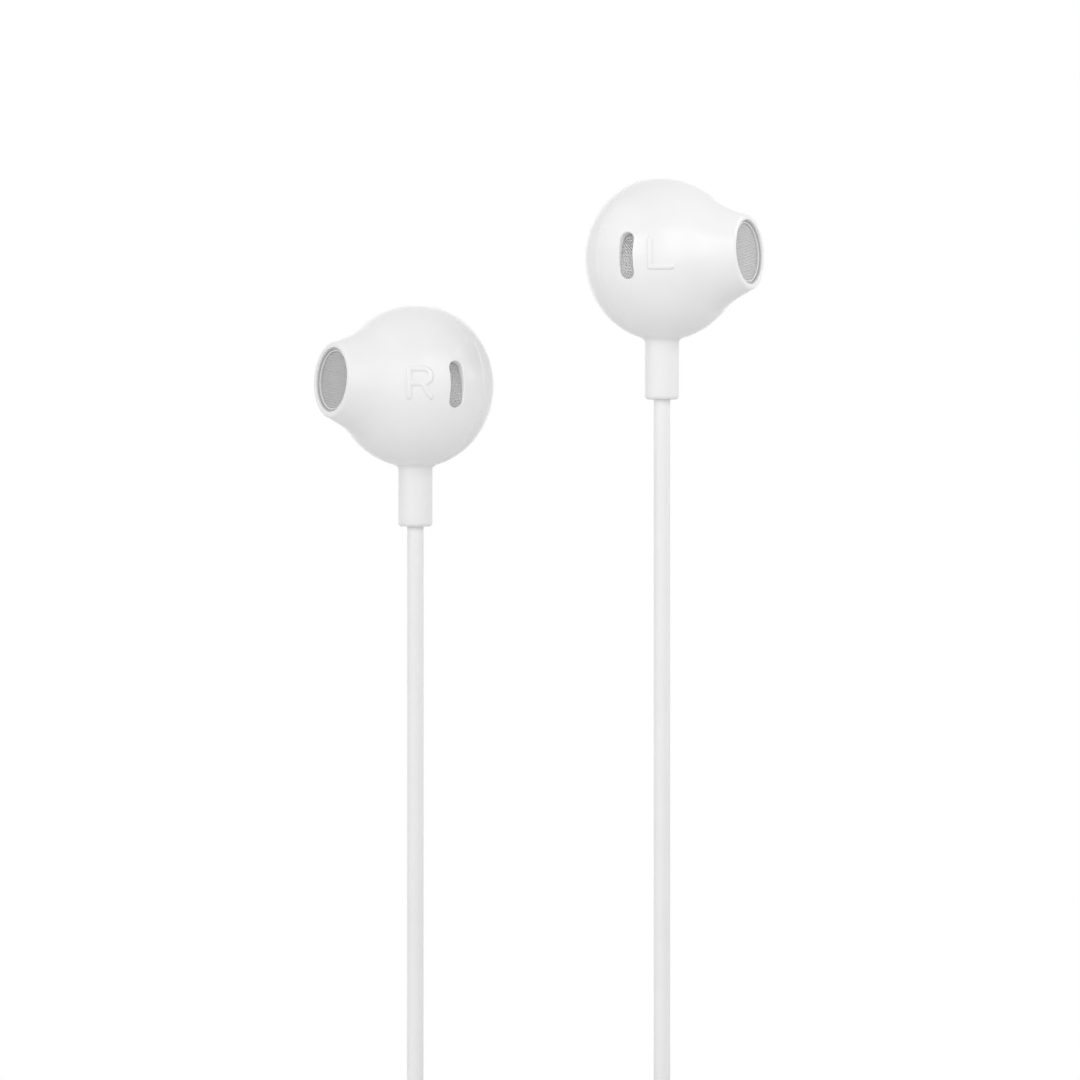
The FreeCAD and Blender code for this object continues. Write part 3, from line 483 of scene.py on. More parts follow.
# Glossy housing: polished mould, so the edge of every reflection is soft but clear
HOUSING_ABS = MouldedPlastic("white ABS, polished mould", "f4f4f4", "f2f2f2", roughness=0.24)
REAR_ABS = MouldedPlastic("white ABS, rear cover", "f2f2f2", "f0f0f0", roughness=0.26)
RING_ABS = MouldedPlastic("white ABS, satin ring", "e8e8e8", "e4e4e4", roughness=0.4)
# Soft sleeves and cable jacket: satin, with a fine bloom that a rubber-like plastic has
SLEEVE_TPE = MouldedPlastic(
    "white TPE, moulded sleeve", "f1f1f1", "efefef", roughness=0.42, ior=1.5, grain_depth_mm=0.002
)
JACKET_TPE = MouldedPlastic(
    "white TPE, drawn cable jacket",
    "f3f3f3",
    "f1f1f1",
    roughness=0.4,
    ior=1.5,
    wave_mm=1.4,
    grain_depth_mm=0.0015,
)
STRAP_SILICONE = MouldedPlastic(
    "white silicone, moulded strap",
    "ebebeb",
    "e6e6e6",
    roughness=0.55,
    ior=1.43,
    grain_depth_mm=0.004,
)
# Pieces that show only up close or inside: each has its material's usual colour and gloss
INSULATOR_PBT = MouldedPlastic(
    "white PBT, insulating bands", "dcdcd8", "d6d6d2", roughness=0.4, ior=1.55
)
DRIVER_ABS = MouldedPlastic("black ABS, driver frame", "2a2a2b", "242425", roughness=0.5)
BOARD_FR4 = MouldedPlastic(
    "green FR4 board", "2f6b46", "28603e", roughness=0.35, grain_depth_mm=0.004
)
# Wire cloth: fine stainless wire, so a soft silvery grey; the vent's cloth is the brighter one
GRILLE_STEEL = Metal("stainless wire cloth", "d4d4d4", "c4c4c4", roughness=0.5, mark_mm=0.12)
VENT_STEEL = Metal(
    "stainless wire cloth, bright", "e8e8e8", "dadada", roughness=0.5, mark_mm=0.12
)
# Driver metals: plating is smooth and greyish, enamelled copper is warm and glossy
YOKE_STEEL = Metal("zinc-plated steel", "b9bcc0", "9fa3a8", roughness=0.35)
MAGNET_NICKEL = Metal("nickel-plated neodymium", "c9c4b8", "b8b3a8", roughness=0.25)
COPPER_WIRE = Metal(
    "enamelled copper wire", "b5652f", "9c5425", roughness=0.3, stretch=(1.0, 1.0, 6.0)
)
# Plug contacts: turned and polished, so the lathe leaves the finest rings round the axis
PLUG_METAL = Metal(
    "nickel-plated brass, turned",
    "d2cfc8",
    "c2bfb8",
    roughness=0.16,
    mark_mm=0.1,
    stretch=(0.1, 0.1, 1.0),
)
# Cloth, felt and foam: matt, with dark gaps between the fibres or cells
DUST_CLOTH = Fibre("grey dust cloth", "dcdcdc", "c6c6c6", cell_mm=0.12, depth_mm=0.02)
VENT_CLOTH = Fibre("grey acoustic cloth", "e6e6e6", "d4d4d4", cell_mm=0.12, depth_mm=0.02)
# Grey liner on the wall of the mouth's opening: painted shade of the gap between the lip and the
# ring
PAINTED_SHADE_LINER = Fibre("grey liner, painted shade", "cecece", "c2c2c2", cell_mm=0.1, depth_mm=0.01, sheen=0.0)
DAMPING_FELT = Fibre("grey wool felt", "8a8885", "6b6966", cell_mm=0.3, depth_mm=0.05)
GASKET_FOAM = Fibre("black PU foam", "303032", "1d1d1f", cell_mm=0.4, depth_mm=0.08, sheen=0.0)
# Diaphragm: formed amber film, glossy like the sheet that it was pressed from
FILM = PolyesterFilm("formed polyester film", "c9b27a")


def dress(piece: bpy.types.Object, finish: Finish) -> None:
    """Give a piece, new or carried over, one finish in every material slot it has.

    Args:
        piece: The piece.
        finish: Its surface, which is built when it is first used.
    """
    material = bpy.data.materials.get(finish.name) or finish.build()
    if not piece.material_slots:
        piece.data.materials.append(material)
    for slot in piece.material_slots:
        slot.material = material


def settle(
    piece: bpy.types.Object, finish: Finish, stands_for: tuple[str, ...] = ()
) -> bpy.types.Object:
    """Dress a new piece, fix it to the object and hide the nodes that it stands for.

    Args:
        piece: The finished piece.
        finish: Its surface.
        stands_for: Names of the nodes that it replaces.

    Returns:
        The same piece.
    """
    dress(piece, finish)
    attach(piece, "root")
    if stands_for:
        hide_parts(*stands_for)
    log.info("%s: %d faces", piece.name, len(getattr(piece.data, "polygons", [])))
    return piece


# Woven wire cloth


@dataclass(frozen=True)
class WireCloth:
    """Plain weave of round wires, cut to a slot with round ends or to a disc.

    The pitch is about twice that of the real cloth, because finer wires than this vanish.
    """

    half_straight: float
    half_width: float
    wire: float = 0.043
    pitch: float = 0.16
    swing: float = 1.02
    sides: int = 6
    steps_per_pitch: int = 4

    def one_way(self, offsets: np.ndarray, lengths: np.ndarray, flip: float) -> np.ndarray:
        """Wires of one direction.

        Formula: a wire's centre line rises and falls as wire * swing * cos(pi * s / pitch), with s
        along it, and every second wire the other way up; its round section stands on that line
        and shrinks to a point at both ends.

        Args:
            offsets: Each wire's distance from the middle.
            lengths: Each wire's half length.
            flip: 1 for wires that start on top, -1 for those that start below.

        Returns:
            Tubes of shape (wires, rows, sides, 3) as length, offset and height.
        """
        rows = int(2 * lengths.max() / self.pitch * self.steps_per_pitch) + 3
        share = np.linspace(-1, 1, rows)
        along = lengths[:, None] * share
        parity = np.where(np.round(offsets / self.pitch).astype(int) % 2 == 0, 1.0, -1.0)
        wave = np.cos(math.pi * along / self.pitch)
        rise = flip * parity[:, None] * self.wire * self.swing * wave
        round_angle = np.linspace(0, 2 * math.pi, self.sides, endpoint=False)
        thick = np.full(rows, self.wire)
        thick[[0, -1]] = 0.0
        shape = (len(offsets), rows, self.sides)
        length = np.broadcast_to(along[:, :, None], shape)
        side = offsets[:, None, None] + thick[None, :, None] * np.cos(round_angle)
        height = rise[:, :, None] + thick[None, :, None] * np.sin(round_angle)
        return np.stack([length, np.broadcast_to(side, shape), height], axis=-1)

    def offsets(self, reach: float) -> np.ndarray:
        """Where parallel wires lie, one pitch apart on both sides of the middle.

        Args:
            reach: How far they may go from the middle.

        Returns:
            Their distances from the middle.
        """
        each_side = int(reach / self.pitch)
        lines = np.arange(-each_side, each_side + 1) * self.pitch
        return lines[np.abs(lines) < reach - self.wire]

    def tubes(self) -> tuple[np.ndarray, np.ndarray]:
        """All wires, each cut where it meets the slot's or disc's edge.

        Returns:
            Wires along the slot and wires across it, in the cloth's own flat coordinates.
        """
        lines = self.offsets(self.half_width)
        cross = self.offsets(self.half_straight + self.half_width)
        past = np.maximum(np.abs(cross) - self.half_straight, 0)
        warp = self.one_way(lines, self.half_straight + np.sqrt(self.half_width**2 - lines**2), 1.0)
        weft = self.one_way(cross, np.sqrt(self.half_width**2 - past**2), -1.0)
        return warp, weft[..., [1, 0, 2]]


# The buds


class Side(Enum):
    """Which ear a bud is for."""

    LEFT = "left"
    RIGHT = "right"


@dataclass(frozen=True)
class SideMark:
    """The plain raised letter of the side, drawn with strokes of one width."""

    centre_x: float
    centre_z: float
    stroke: float = 0.5
    height: float = 0.18
    edge: float = 0.3
    half_width: float = 1.12
    half_height: float = 1.45
    bowl_share: float = 0.52
    leg_share: float = 0.6
    reach: tuple[float, float] = (1.6, 1.95)
    points: tuple[int, int] = (97, 119)
    sunk: float = 0.02
    body: float = 0.2

    def distance(self, side: Side, x: np.ndarray, y: np.ndarray) -> np.ndarray:
        """How far each point of the grid is from the letter's centre line.

        Formula: the least distance to the letter's straight strokes and, for R, to the right half
        of the circle that makes its bowl.

        Args:
            side: Whose letter it is.
            x: Across, any array shape.
            y: Up, the same shape.

        Returns:
            The distances, in the same shape.
        """
        w = self.half_width
        h = self.half_height
        post = to_stroke(x, y, (-w, h), (-w, -h))
        if side is Side.LEFT:
            return np.minimum(post, to_stroke(x, y, (-w, -h), (w, -h)))
        bowl = h * self.bowl_share
        waist = h - 2 * bowl
        bend = w - bowl
        near = np.minimum(post, to_stroke(x, y, (-w, h), (bend, h)))
        near = np.minimum(near, to_stroke(x, y, (-w, waist), (bend, waist)))
        near = np.minimum(near, to_stroke(x, y, (bend * self.leg_share, waist), (w, -h)))
        ring = np.abs(np.hypot(x - bend, y - h + bowl) - bowl)
        return np.minimum(near, np.where(x >= bend, ring, np.inf))


def to_stroke(
    x: np.ndarray, y: np.ndarray, start: tuple[float, float], end: tuple[float, float]
) -> np.ndarray:
    """Distance from points to a straight stroke.

    Formula: a point's share along the stroke is clipped to 0 and 1, and the distance taken there.

    Args:
        x: Across, any array shape.
        y: Up, the same shape.
        start: The stroke's first end.
        end: The stroke's other end.

    Returns:
        The distances, in the same shape.
    """
    along_x = end[0] - start[0]
    along_y = end[1] - start[1]
    share = ((x - start[0]) * along_x + (y - start[1]) * along_y) / (along_x**2 + along_y**2)
    share = np.clip(share, 0, 1)
    return np.hypot(x - start[0] - share * along_x, y - start[1] - share * along_y)


@dataclass
class EarBud:
    """One bud: ball with a canted nozzle, rear cover, meshes, side mark and cable sleeve."""

    side: Side
    centre: tuple[float, float, float]
    turn: float
    mark: SideMark
    radius: float = 8.4
    wall: float = 0.9
    chamfer: float = 0.12
    cant: float = 27.0
    rise: float = 3.5
    taper: float = 24.0
    blend: float = 8.0
    mouth: float = 9.85
    mouth_radius: float = 3.95
    lip: float = 0.4
    opening: float = 3.28
    opening_round: float = 0.12
    bore: float = 2.75
    play: float = 0.02
    ring_recess: float = 0.3
    ring_thickness: float = 0.2
    ring_width: float = 0.34
    ring_flange: float = 0.07
    ring_bead: float = 0.065
    # The grey liner that is painted shade of the gap between lip and ring: its width, its depth and
    # how far it sinks into the wall
    shade_liner_width: float = 0.12
    shade_liner_depth: float = 0.2
    shade_liner_bite: float = 0.005
    mesh_thickness: float = 0.12
    mesh_margin: float = 0.06
    dust_gap: float = 0.1
    dust_thickness: float = 0.1
    ledge: float = 0.6
    rear_depth: float = 7.3
    rear_side: float = 6.2
    vent_angle: float = 64.5
    vent_half_angle: float = 12.6
    vent_width: float = 1.5
    vent_round: float = 0.12
    vent_cut: float = 0.6
    vent_recess: float = 0.5
    vent_mesh: float = 0.15
    vent_wire: float = 0.042
    vent_lean: float = 0.3
    vent_tuck: float = 0.04
    vent_back: tuple[float, float] = (0.22, 0.12)
    boot_radius: float = 1.75
    boot_end: float = 14.4
    boot_round: float = 0.35
    boot_flare: float = 0.45
    boot_sunk: float = 0.965
    boot_bore: float = 0.9
    boot_rim: float = 0.1
    columns: int = 192

    @property
    def sign(self) -> float:
        """1 for the left bud and -1 for the right one, which mirrors it."""
        return 1.0 if self.side is Side.LEFT else -1.0

    @property
    def frame(self) -> np.ndarray:
        """The bud's own axes: z through the driver towards the ear, y up, from the ball's centre."""
        return moved_to(*self.centre) @ turned_by("z", self.sign * self.turn) @ turned_by("x", 90)

    @property
    def nozzle(self) -> np.ndarray:
        """The nozzle's axes within the bud: z out of the mouth."""
        return turned_by("x", -self.rise) @ turned_by("y", self.sign * self.cant)

    @property
    def seat(self) -> float:
        """How far out along the nozzle the mouth's cloth lies."""
        return self.mouth - self.ring_recess - self.ring_thickness - self.mesh_thickness

    @property
    def vent_reach(self) -> float:
        """Half the length of the side vent's middle line on the ball, without its round ends."""
        circle = self.radius * math.sin(math.radians(self.vent_angle))
        return circle * math.radians(self.vent_half_angle)

    def label(self, piece: str) -> str:
        """The piece's name with the side in front."""
        return f"{self.side.value}_{piece}"

    def build(self) -> None:
        """Make every visible piece of the bud."""
        self.front_shell()
        self.rear_shell()
        self.side_letter()
        self.nozzle_cloth()
        self.vent_cloth()
        self.boot()

    def nozzle_section(self) -> tuple[np.ndarray, float]:
        """The fixed part of the wall's section, from the ball's end out to the mouth and back in.

        Formula: an arc that is tangent to the ball and to the cone, the cone, the lip's arc, the
        face, the opening, the ledge, and the same blend and cone again one wall further in.

        Returns:
            Points (rows, 2) as radius and distance along the nozzle, and the angle in degrees
            from the nozzle's axis where the ball takes over.
        """
        taper = math.radians(self.taper)
        along = np.array([math.sin(taper), -math.cos(taper)])
        off = np.array([math.cos(taper), math.sin(taper)])
        lip_centre = np.array([self.mouth_radius - self.lip, self.mouth - self.lip])
        lip_start = lip_centre + off * self.lip
        base = lip_start + off * self.blend
        reach = self.radius + self.blend
        half_b = base @ along
        travel = -half_b - math.sqrt(half_b**2 - base @ base + reach**2)
        centre = base + along * travel
        from_axis = math.degrees(math.atan2(centre[0], centre[1]))
        toward_ball = math.degrees(math.atan2(-centre[1], -centre[0])) % 360
        toward_cone = 180 + self.taper
        seat = self.seat
        back = seat - self.ledge
        inner_lip = lip_start - off * self.wall
        inner_radius = inner_lip[0] + (inner_lip[1] - back) * math.tan(taper)
        inner_cone = centre - off * (self.blend + self.wall)
        wide = self.opening + self.opening_round
        round_start = self.mouth - self.opening_round
        section = chain(
            arc(centre, self.blend, toward_ball, toward_cone, 26),
            straight(centre - off * self.blend, lip_start, 10),
            arc(lip_centre, self.lip, self.taper, 90, 10),
            straight(lip_centre + (0, self.lip), (wide, self.mouth), 3),
            arc((wide, round_start), self.opening_round, 90, 180, 6),
            straight((self.opening, round_start), (self.opening, seat), 4),
            straight((self.opening, seat), (self.bore, seat), 3),
            straight((self.bore, seat), (self.bore, back), 3),
            straight((self.bore, back), (inner_radius, back), 3),
            straight((inner_radius, back), inner_cone, 4),
            arc(centre, self.blend + self.wall, toward_cone, toward_ball, 14),
        )
        return section, from_axis

    def front_shell(self) -> None:
        """The front shell, turned about the nozzle's axis and cut straight at the seam.

        Formula: on the ball the angle from the nozzle's axis runs in even steps up to the seam's
        angle, atan2(across, along) + acos(height / (radius * hypot(along, across))), where along
        and across are the driver axis' shares in that column.
        """
        section, from_axis = self.nozzle_section()
        angle = np.linspace(0, 2 * math.pi, self.columns, endpoint=False)
        driver_axis = self.nozzle[:3, :3].T @ np.array([0.0, 0.0, 1.0])
        across = driver_axis[0] * np.cos(angle) + driver_axis[1] * np.sin(angle)
        slant = np.arctan2(across, driver_axis[2])
        length = np.hypot(across, driver_axis[2])

        def ball(radius: float, height: float, rows: int) -> np.ndarray:
            """Rows on a ball, from the seam to the blend.

            Args:
                radius: The ball's radius.
                height: The seam's height along the driver's axis.
                rows: How many rows.

            Returns:
                A grid (rows, columns, 3) in the nozzle's axes.
            """
            seam = slant + np.arccos(height / radius / length)
            share = np.linspace(0, 1, rows)[:, None]
            tilt = seam * (1 - share) + math.radians(from_axis) * share
            return radius * np.stack(
                [np.sin(tilt) * np.cos(angle), np.sin(tilt) * np.sin(angle), np.cos(tilt)], axis=2
            )

        middle = spun(section, self.columns)
        outer = placed(ball(self.radius, self.chamfer, 64), self.nozzle)
        inner = placed(ball(self.radius - self.wall, 0.0, 24)[::-1], self.nozzle)
        rim = outer[:1] * (1, 1, 0)
        rim *= (self.radius - self.chamfer) / np.linalg.norm(rim, axis=2, keepdims=True)
        grid = np.concatenate([rim, outer[:-1], placed(middle, self.nozzle), inner[1:]])
        shell = surface(self.label("front_shell"), placed(grid, self.frame), Loop.BOTH)
        cut_away(shell, self.vent_cutter())
        settle(shell, HOUSING_ABS, (self.label("front_housing"),))

    def on_vent(self, along: np.ndarray, across: np.ndarray, radius: np.ndarray) -> np.ndarray:
        """Points on the side vent's curved strip.

        Formula: out * radius + sideways * across, where both directions are turned about the
        driver's axis by along / (radius of the circle of latitude); past the strip's two ends,
        along goes straight on instead.

        Args:
            along: Distance along the slot's middle line, at the ball's surface.
            across: Distance from the middle line.
            radius: Distance from the ball's centre.

        Returns:
            Points in the bud's axes.
        """
        angle = math.radians(self.vent_angle)
        half = math.radians(self.vent_half_angle)
        circle = self.radius * math.sin(angle)
        turn = np.clip(along / circle, -half, half)
        past = along - turn * circle
        sin_v, cos_v = math.sin(angle), math.cos(angle)
        sin_t, cos_t = np.sin(turn), np.cos(turn)
        zero = np.zeros(turn.shape)
        out = np.stack([sin_v * cos_t, sin_v * sin_t, zero + cos_v], axis=-1)
        sideways = np.stack([cos_v * cos_t, cos_v * sin_t, zero - sin_v], axis=-1)
        onward = np.stack([-sin_t, cos_t, zero], axis=-1)
        points = out * radius[..., None] + sideways * across[..., None] + onward * past[..., None]
        return points * (-self.sign, -self.sign, 1)

    def vent_outline(self, half_width: np.ndarray) -> tuple[np.ndarray, np.ndarray]:
        """A slot outline with round ends, for each half width.

        Formula: one long side and the half circle at its end; the rest is the same turned by half
        a turn.

        Args:
            half_width: Half widths, shape (rows,).

        Returns:
            Along and across, of shape (rows, points).
        """
        steps = 24
        line = np.linspace(-self.vent_reach, self.vent_reach, steps)
        bend = np.linspace(-math.pi / 2, math.pi / 2, steps)[1:-1]
        width = half_width[:, None]
        along = np.concatenate([line + 0 * width, self.vent_reach + width * np.cos(bend)], axis=1)
        across = np.concatenate([0 * line - width, width * np.sin(bend)], axis=1)
        return np.concatenate([along, -along], axis=1), np.concatenate([across, -across], axis=1)

    def vent_cutter(self) -> bpy.types.Object:
        """The form of the side vent's opening, wider by a small round at the skin.

        Formula: slot outlines one above another, from inside the wall to outside the skin, whose
        half width follows the round.

        Returns:
            The closed form.
        """
        half = self.vent_width / 2
        bend = self.vent_round
        skin = math.sqrt(self.radius**2 - (half + bend) ** 2)
        flare = arc((skin - bend, half + bend), bend, -90, -20, 7)
        inside = self.radius - self.wall - self.vent_cut
        outside = self.radius + self.vent_cut
        depth = np.concatenate([[inside] * 2, flare[:, 0], [outside] * 2])
        width = np.concatenate([[0.0, half], flare[:, 1], [flare[-1, 1], 0.0]])
        along, across = self.vent_outline(width)
        radius = np.broadcast_to(depth[:, None], along.shape)
        return surface("vent_cutter", placed(self.on_vent(along, across, radius), self.frame))

    def vent_level(self, along: np.ndarray) -> np.ndarray:
        """The mesh strip's distance from the ball's centre; it leans in towards its upper end."""
        up = np.clip(-self.sign * along / self.vent_reach, -1, 1)
        return self.radius - self.vent_recess - self.vent_lean * up - self.vent_mesh / 2

    def vent_cloth(self) -> None:
        """The woven strip in the vent's bottom and the paler cloth behind it.

        Formula: each flat wire is laid on the vent's curved strip at the strip's level; the cloth
        is a thin form between two outlines behind it.
        """
        cloth = WireCloth(self.vent_reach, self.vent_width / 2 - self.play, wire=self.vent_wire)
        parts = []
        for tubes in cloth.tubes():
            along, across, lift = np.moveaxis(tubes, -1, 0)
            on_ball = self.on_vent(along, across, self.vent_level(along) + lift)
            parts.append(placed(on_ball, self.frame))
        weave = joined(self.label("vent_weave"), parts)
        settle(weave, VENT_STEEL, (self.label("vent_mesh"),))
        half = self.vent_width / 2 + self.vent_tuck
        along, across = self.vent_outline(np.array([0.0, half, half, 0.0]))
        radius = self.vent_level(along) - np.repeat(self.vent_back, 2)[:, None]
        grid = placed(self.on_vent(along, across, radius), self.frame)
        settle(surface(self.label("vent_backing"), grid), VENT_CLOTH)

    def rear_shell(self) -> None:
        """The rear cover, turned about the driver's axis.

        Formula: the outer line is an arc for the side and a flatter one for the cap, tangent where
        they meet; the inner line is the same, one wall further in.
        """
        offset = self.radius - self.rear_side
        cap = offset**2 + self.rear_depth**2 - self.rear_side**2
        cap /= 2 * (self.rear_depth - self.rear_side)
        cap_height = cap - self.rear_depth
        meet = math.degrees(math.atan2(-cap_height, offset))
        first = -math.degrees(math.asin(self.chamfer / self.rear_side))
        outer_side = arc((offset, 0), self.rear_side, meet, first, 40)
        outer_cap = arc((0, cap_height), cap, -90, meet, 44)
        inner_cap = arc((0, cap_height), cap - self.wall, meet, -90, 16)
        inner_side = arc((offset, 0), self.rear_side - self.wall, 0, meet, 16)
        rim = [(self.radius - self.chamfer, 0.0)]
        outer = chain(outer_cap, outer_side)
        section = np.concatenate([outer, rim, chain(inner_side, inner_cap)])
        section[[0, -1], 0] = 0.0
        grid = placed(spun(section, self.columns), self.frame)
        cover = surface(self.label("rear_shell"), grid)
        settle(cover, REAR_ABS, (self.label("rear_cover"),))

    def side_letter(self) -> None:
        """The raised side mark on the front shell.

        Formula: on a fine grid the height is a smooth step of the distance to the letter's centre
        line, added to the ball's radius; cells under the skin are left out and the rest gets a
        small thickness inwards.
        """
        mark = self.mark
        depth = -math.sqrt(self.radius**2 - mark.centre_x**2 - mark.centre_z**2)
        out = np.array([mark.centre_x, depth, mark.centre_z]) / self.radius
        right = np.cross((0.0, 0.0, 1.0), -out)
        right /= -np.linalg.norm(right)
        up = np.cross(right, -out)
        across, upward = (
            np.linspace(-reach, reach, count) for reach, count in zip(mark.reach, mark.points)
        )
        x, y = np.meshgrid(across, upward, indexing="ij")
        near = mark.distance(self.side, x, y)
        share = np.clip((mark.stroke / 2 + mark.edge / 2 - near) / mark.edge, 0, 1)
        height = -mark.sunk + (mark.height + mark.sunk) * share**2 * (3 - 2 * share)
        ray = self.radius * out + x[..., None] * right + y[..., None] * up
        ray /= np.linalg.norm(ray, axis=2, keepdims=True)
        points = np.array(self.centre) + ray * (self.radius + height)[..., None]
        letter = surface(self.label("side_letter"), points, Loop.NEITHER, 60)
        raised = (height + mark.sunk > 1e-4).ravel()
        work = bmesh.new()
        work.from_mesh(letter.data)
        low = [v for v, keep in zip(work.verts, raised) if not keep]
        bmesh.ops.delete(work, geom=low, context="VERTS")
        if sum(face.normal.dot(out) for face in work.faces) < 0:
            bmesh.ops.reverse_faces(work, faces=work.faces)
        work.to_mesh(letter.data)
        work.free()
        body = letter.modifiers.new("body", "SOLIDIFY")
        body.thickness = mark.body * MM
        body.offset = -1
        applied(letter)
        settle(letter, HOUSING_ABS)

    def nozzle_cloth(self) -> None:
        """The mouth's woven disc, its ring, a grey liner in front of the ring that is painted shade
        of the gap between lip and ring, and the dust cloth behind.

        Formula: the ring's section is a flat flange that ends in a round bead towards the axis;
        the painted shade liner's and the dust cloth's are plain rectangles.
        """
        place = self.frame @ self.nozzle
        cloth = WireCloth(0.0, self.opening - self.mesh_margin)
        level = self.seat + self.mesh_thickness / 2
        parts = [placed(t + (0, 0, level), place) for t in cloth.tubes()]
        weave = joined(self.label("nozzle_weave"), parts)
        settle(weave, GRILLE_STEEL, (self.label("nozzle_grille"),))
        outer = self.opening - self.play
        inner = self.opening - self.ring_width
        low = self.seat + self.mesh_thickness
        high = low + self.ring_thickness
        flat = low + self.ring_flange
        bend = self.ring_bead
        flange = [(inner, low), (outer, low), (outer, flat), (inner + 2 * bend, flat)]
        bead = arc((inner + bend, high - bend), bend, 0, 180, 9)
        section = spun(np.concatenate([flange, bead]), 128)
        ring = surface(self.label("mouth_ring"), placed(section, place), Loop.BOTH, 60)
        settle(ring, RING_ABS, (self.label("grille_ring"),))
        # A grey liner on the opening's wall, in front of the ring: painted shade of the gap between
        # the lip and the ring
        wall = self.opening + self.shade_liner_bite
        front = self.mouth - self.shade_liner_depth
        edge = wall - self.shade_liner_width
        band = spun(np.array([(edge, flat), (wall, flat), (wall, front), (edge, front)]), 128)
        shade_liner = surface(self.label("mouth_painted_shade"), placed(band, place), Loop.BOTH, 60)
        settle(shade_liner, PAINTED_SHADE_LINER)
        top = self.seat - self.dust_gap
        bottom = top - self.dust_thickness
        wide = self.bore - self.play
        disc = spun(np.array([(0, bottom), (wide, bottom), (wide, top), (0, top)]), 64)
        backing = surface(self.label("dust_cloth"), placed(disc, place))
        settle(backing, DUST_CLOTH)

    def boot(self) -> None:
        """The cable sleeve, flared where it leaves the ball and softened at its end.

        Formula: the section runs up the bore, out under the skin, along an arc that is tangent to
        the ball and to the sleeve, down the side and round the end.
        """
        flare = self.boot_flare
        centre_r = self.boot_radius + flare
        centre_z = -math.sqrt((self.radius + flare) ** 2 - centre_r**2)
        start = math.degrees(math.atan2(-centre_z, -centre_r))
        touch = np.array([centre_r, centre_z]) * self.radius / (self.radius + flare)
        sunk = touch * self.boot_sunk
        bend = self.boot_round
        end = -self.boot_end
        rim = self.boot_rim
        side = self.boot_radius
        outer = chain(
            arc((centre_r, centre_z), flare, start, 180, 10),
            straight((side, centre_z), (side, end + bend), 8),
            arc((side - bend, end + bend), bend, 0, -90, 8),
            straight((side - bend, end), (self.boot_bore + rim, end), 3),
            arc((self.boot_bore + rim, end + rim), rim, 270, 180, 4),
        )
        section = np.concatenate([[(self.boot_bore, sunk[1]), tuple(sunk)], outer])
        grid = placed(spun(section, 96), moved_to(*self.centre))
        sleeve = surface(self.label("cable_sleeve"), grid, Loop.BOTH)
        settle(sleeve, SLEEVE_TPE, (self.label("cable_boot"),))


def joined(name: str, parts: list[np.ndarray]) -> bpy.types.Object:
    """One piece of several sets of grids, each set with its own number of rows.

    Args:
        name: The piece's name.
        parts: Arrays of shape (grids, rows, columns, 3).

    Returns:
        The piece.
    """
    pieces = [surface(f"{name}_{number}", part) for number, part in enumerate(parts)]
    whole = bmesh.new()
    mesh = bpy.data.meshes.new(name)
    for piece in pieces:
        part = piece.data
        whole.from_mesh(part)
        bpy.data.objects.remove(piece)
        bpy.data.meshes.remove(part)
    whole.to_mesh(mesh)
    whole.free()
    mesh.shade_smooth()
    return shown(name, mesh)


# The cables


def coil_points(crossings: np.ndarray, first: float, middle: np.ndarray) -> np.ndarray:
    """Control points of a winding from where it crosses its own level.

    Formula: between two crossings a and b the points are (a + b) / 2 + (a - b) / 2 * cos t, plus the
    half distance times sin t upwards or downwards by turns, for even steps of t. The spline runs
    inside its points, so all are spread from the middle by 1 / cos(half a step).

    Args:
        crossings: Points (n, 3).
        first: 1 where the first half turn goes over the top, -1 where it goes under.
        middle: The winding's centre.

    Returns:
        Control points (m, 3), ten for each half turn.
    """
    per_half = 10
    start = crossings[:-1, None, :]
    end = crossings[1:, None, :]
    angle = (np.arange(per_half) * math.pi / per_half)[None, :, None]
    way = first * np.where(np.arange(len(crossings) - 1) % 2 == 0, 1.0, -1.0)[:, None, None]
    half = (start - end) / 2
    lift = way * np.linalg.norm(half, axis=2, keepdims=True) * np.sin(angle)
    points = (start + end) / 2 + half * np.cos(angle) + lift * np.array([0.0, 0.0, 1.0])
    points = points.reshape(-1, 3)
    points = np.concatenate([points, crossings[-1:]])
    spread = 1 / math.cos(math.pi / per_half / 2)
    points[:, [0, 2]] = middle[[0, 2]] + (points[:, [0, 2]] - middle[[0, 2]]) * spread
    return points


def cord(name: str, points: np.ndarray, diameter: float) -> bpy.types.Object:
    """A cable as one smooth spline with a round section.

    Args:
        name: The piece's name.
        points: Control points in millimetres.
        diameter: The cable's diameter in millimetres.

    Returns:
        The curve object.
    """
    curve = bpy.data.curves.new(name, "CURVE")
    curve.dimensions = "3D"
    spline = curve.splines.new("NURBS")
    spline.points.add(len(points) - 1)
    spline.points.foreach_set("co", np.c_[points * MM, np.ones(len(points))].ravel())
    spline.order_u = 3
    spline.use_endpoint_u = True
    spline.resolution_u = 5
    curve.bevel_depth = diameter / 2 * MM
    curve.bevel_resolution = 6
    curve.use_fill_caps = True
    return shown(name, curve)


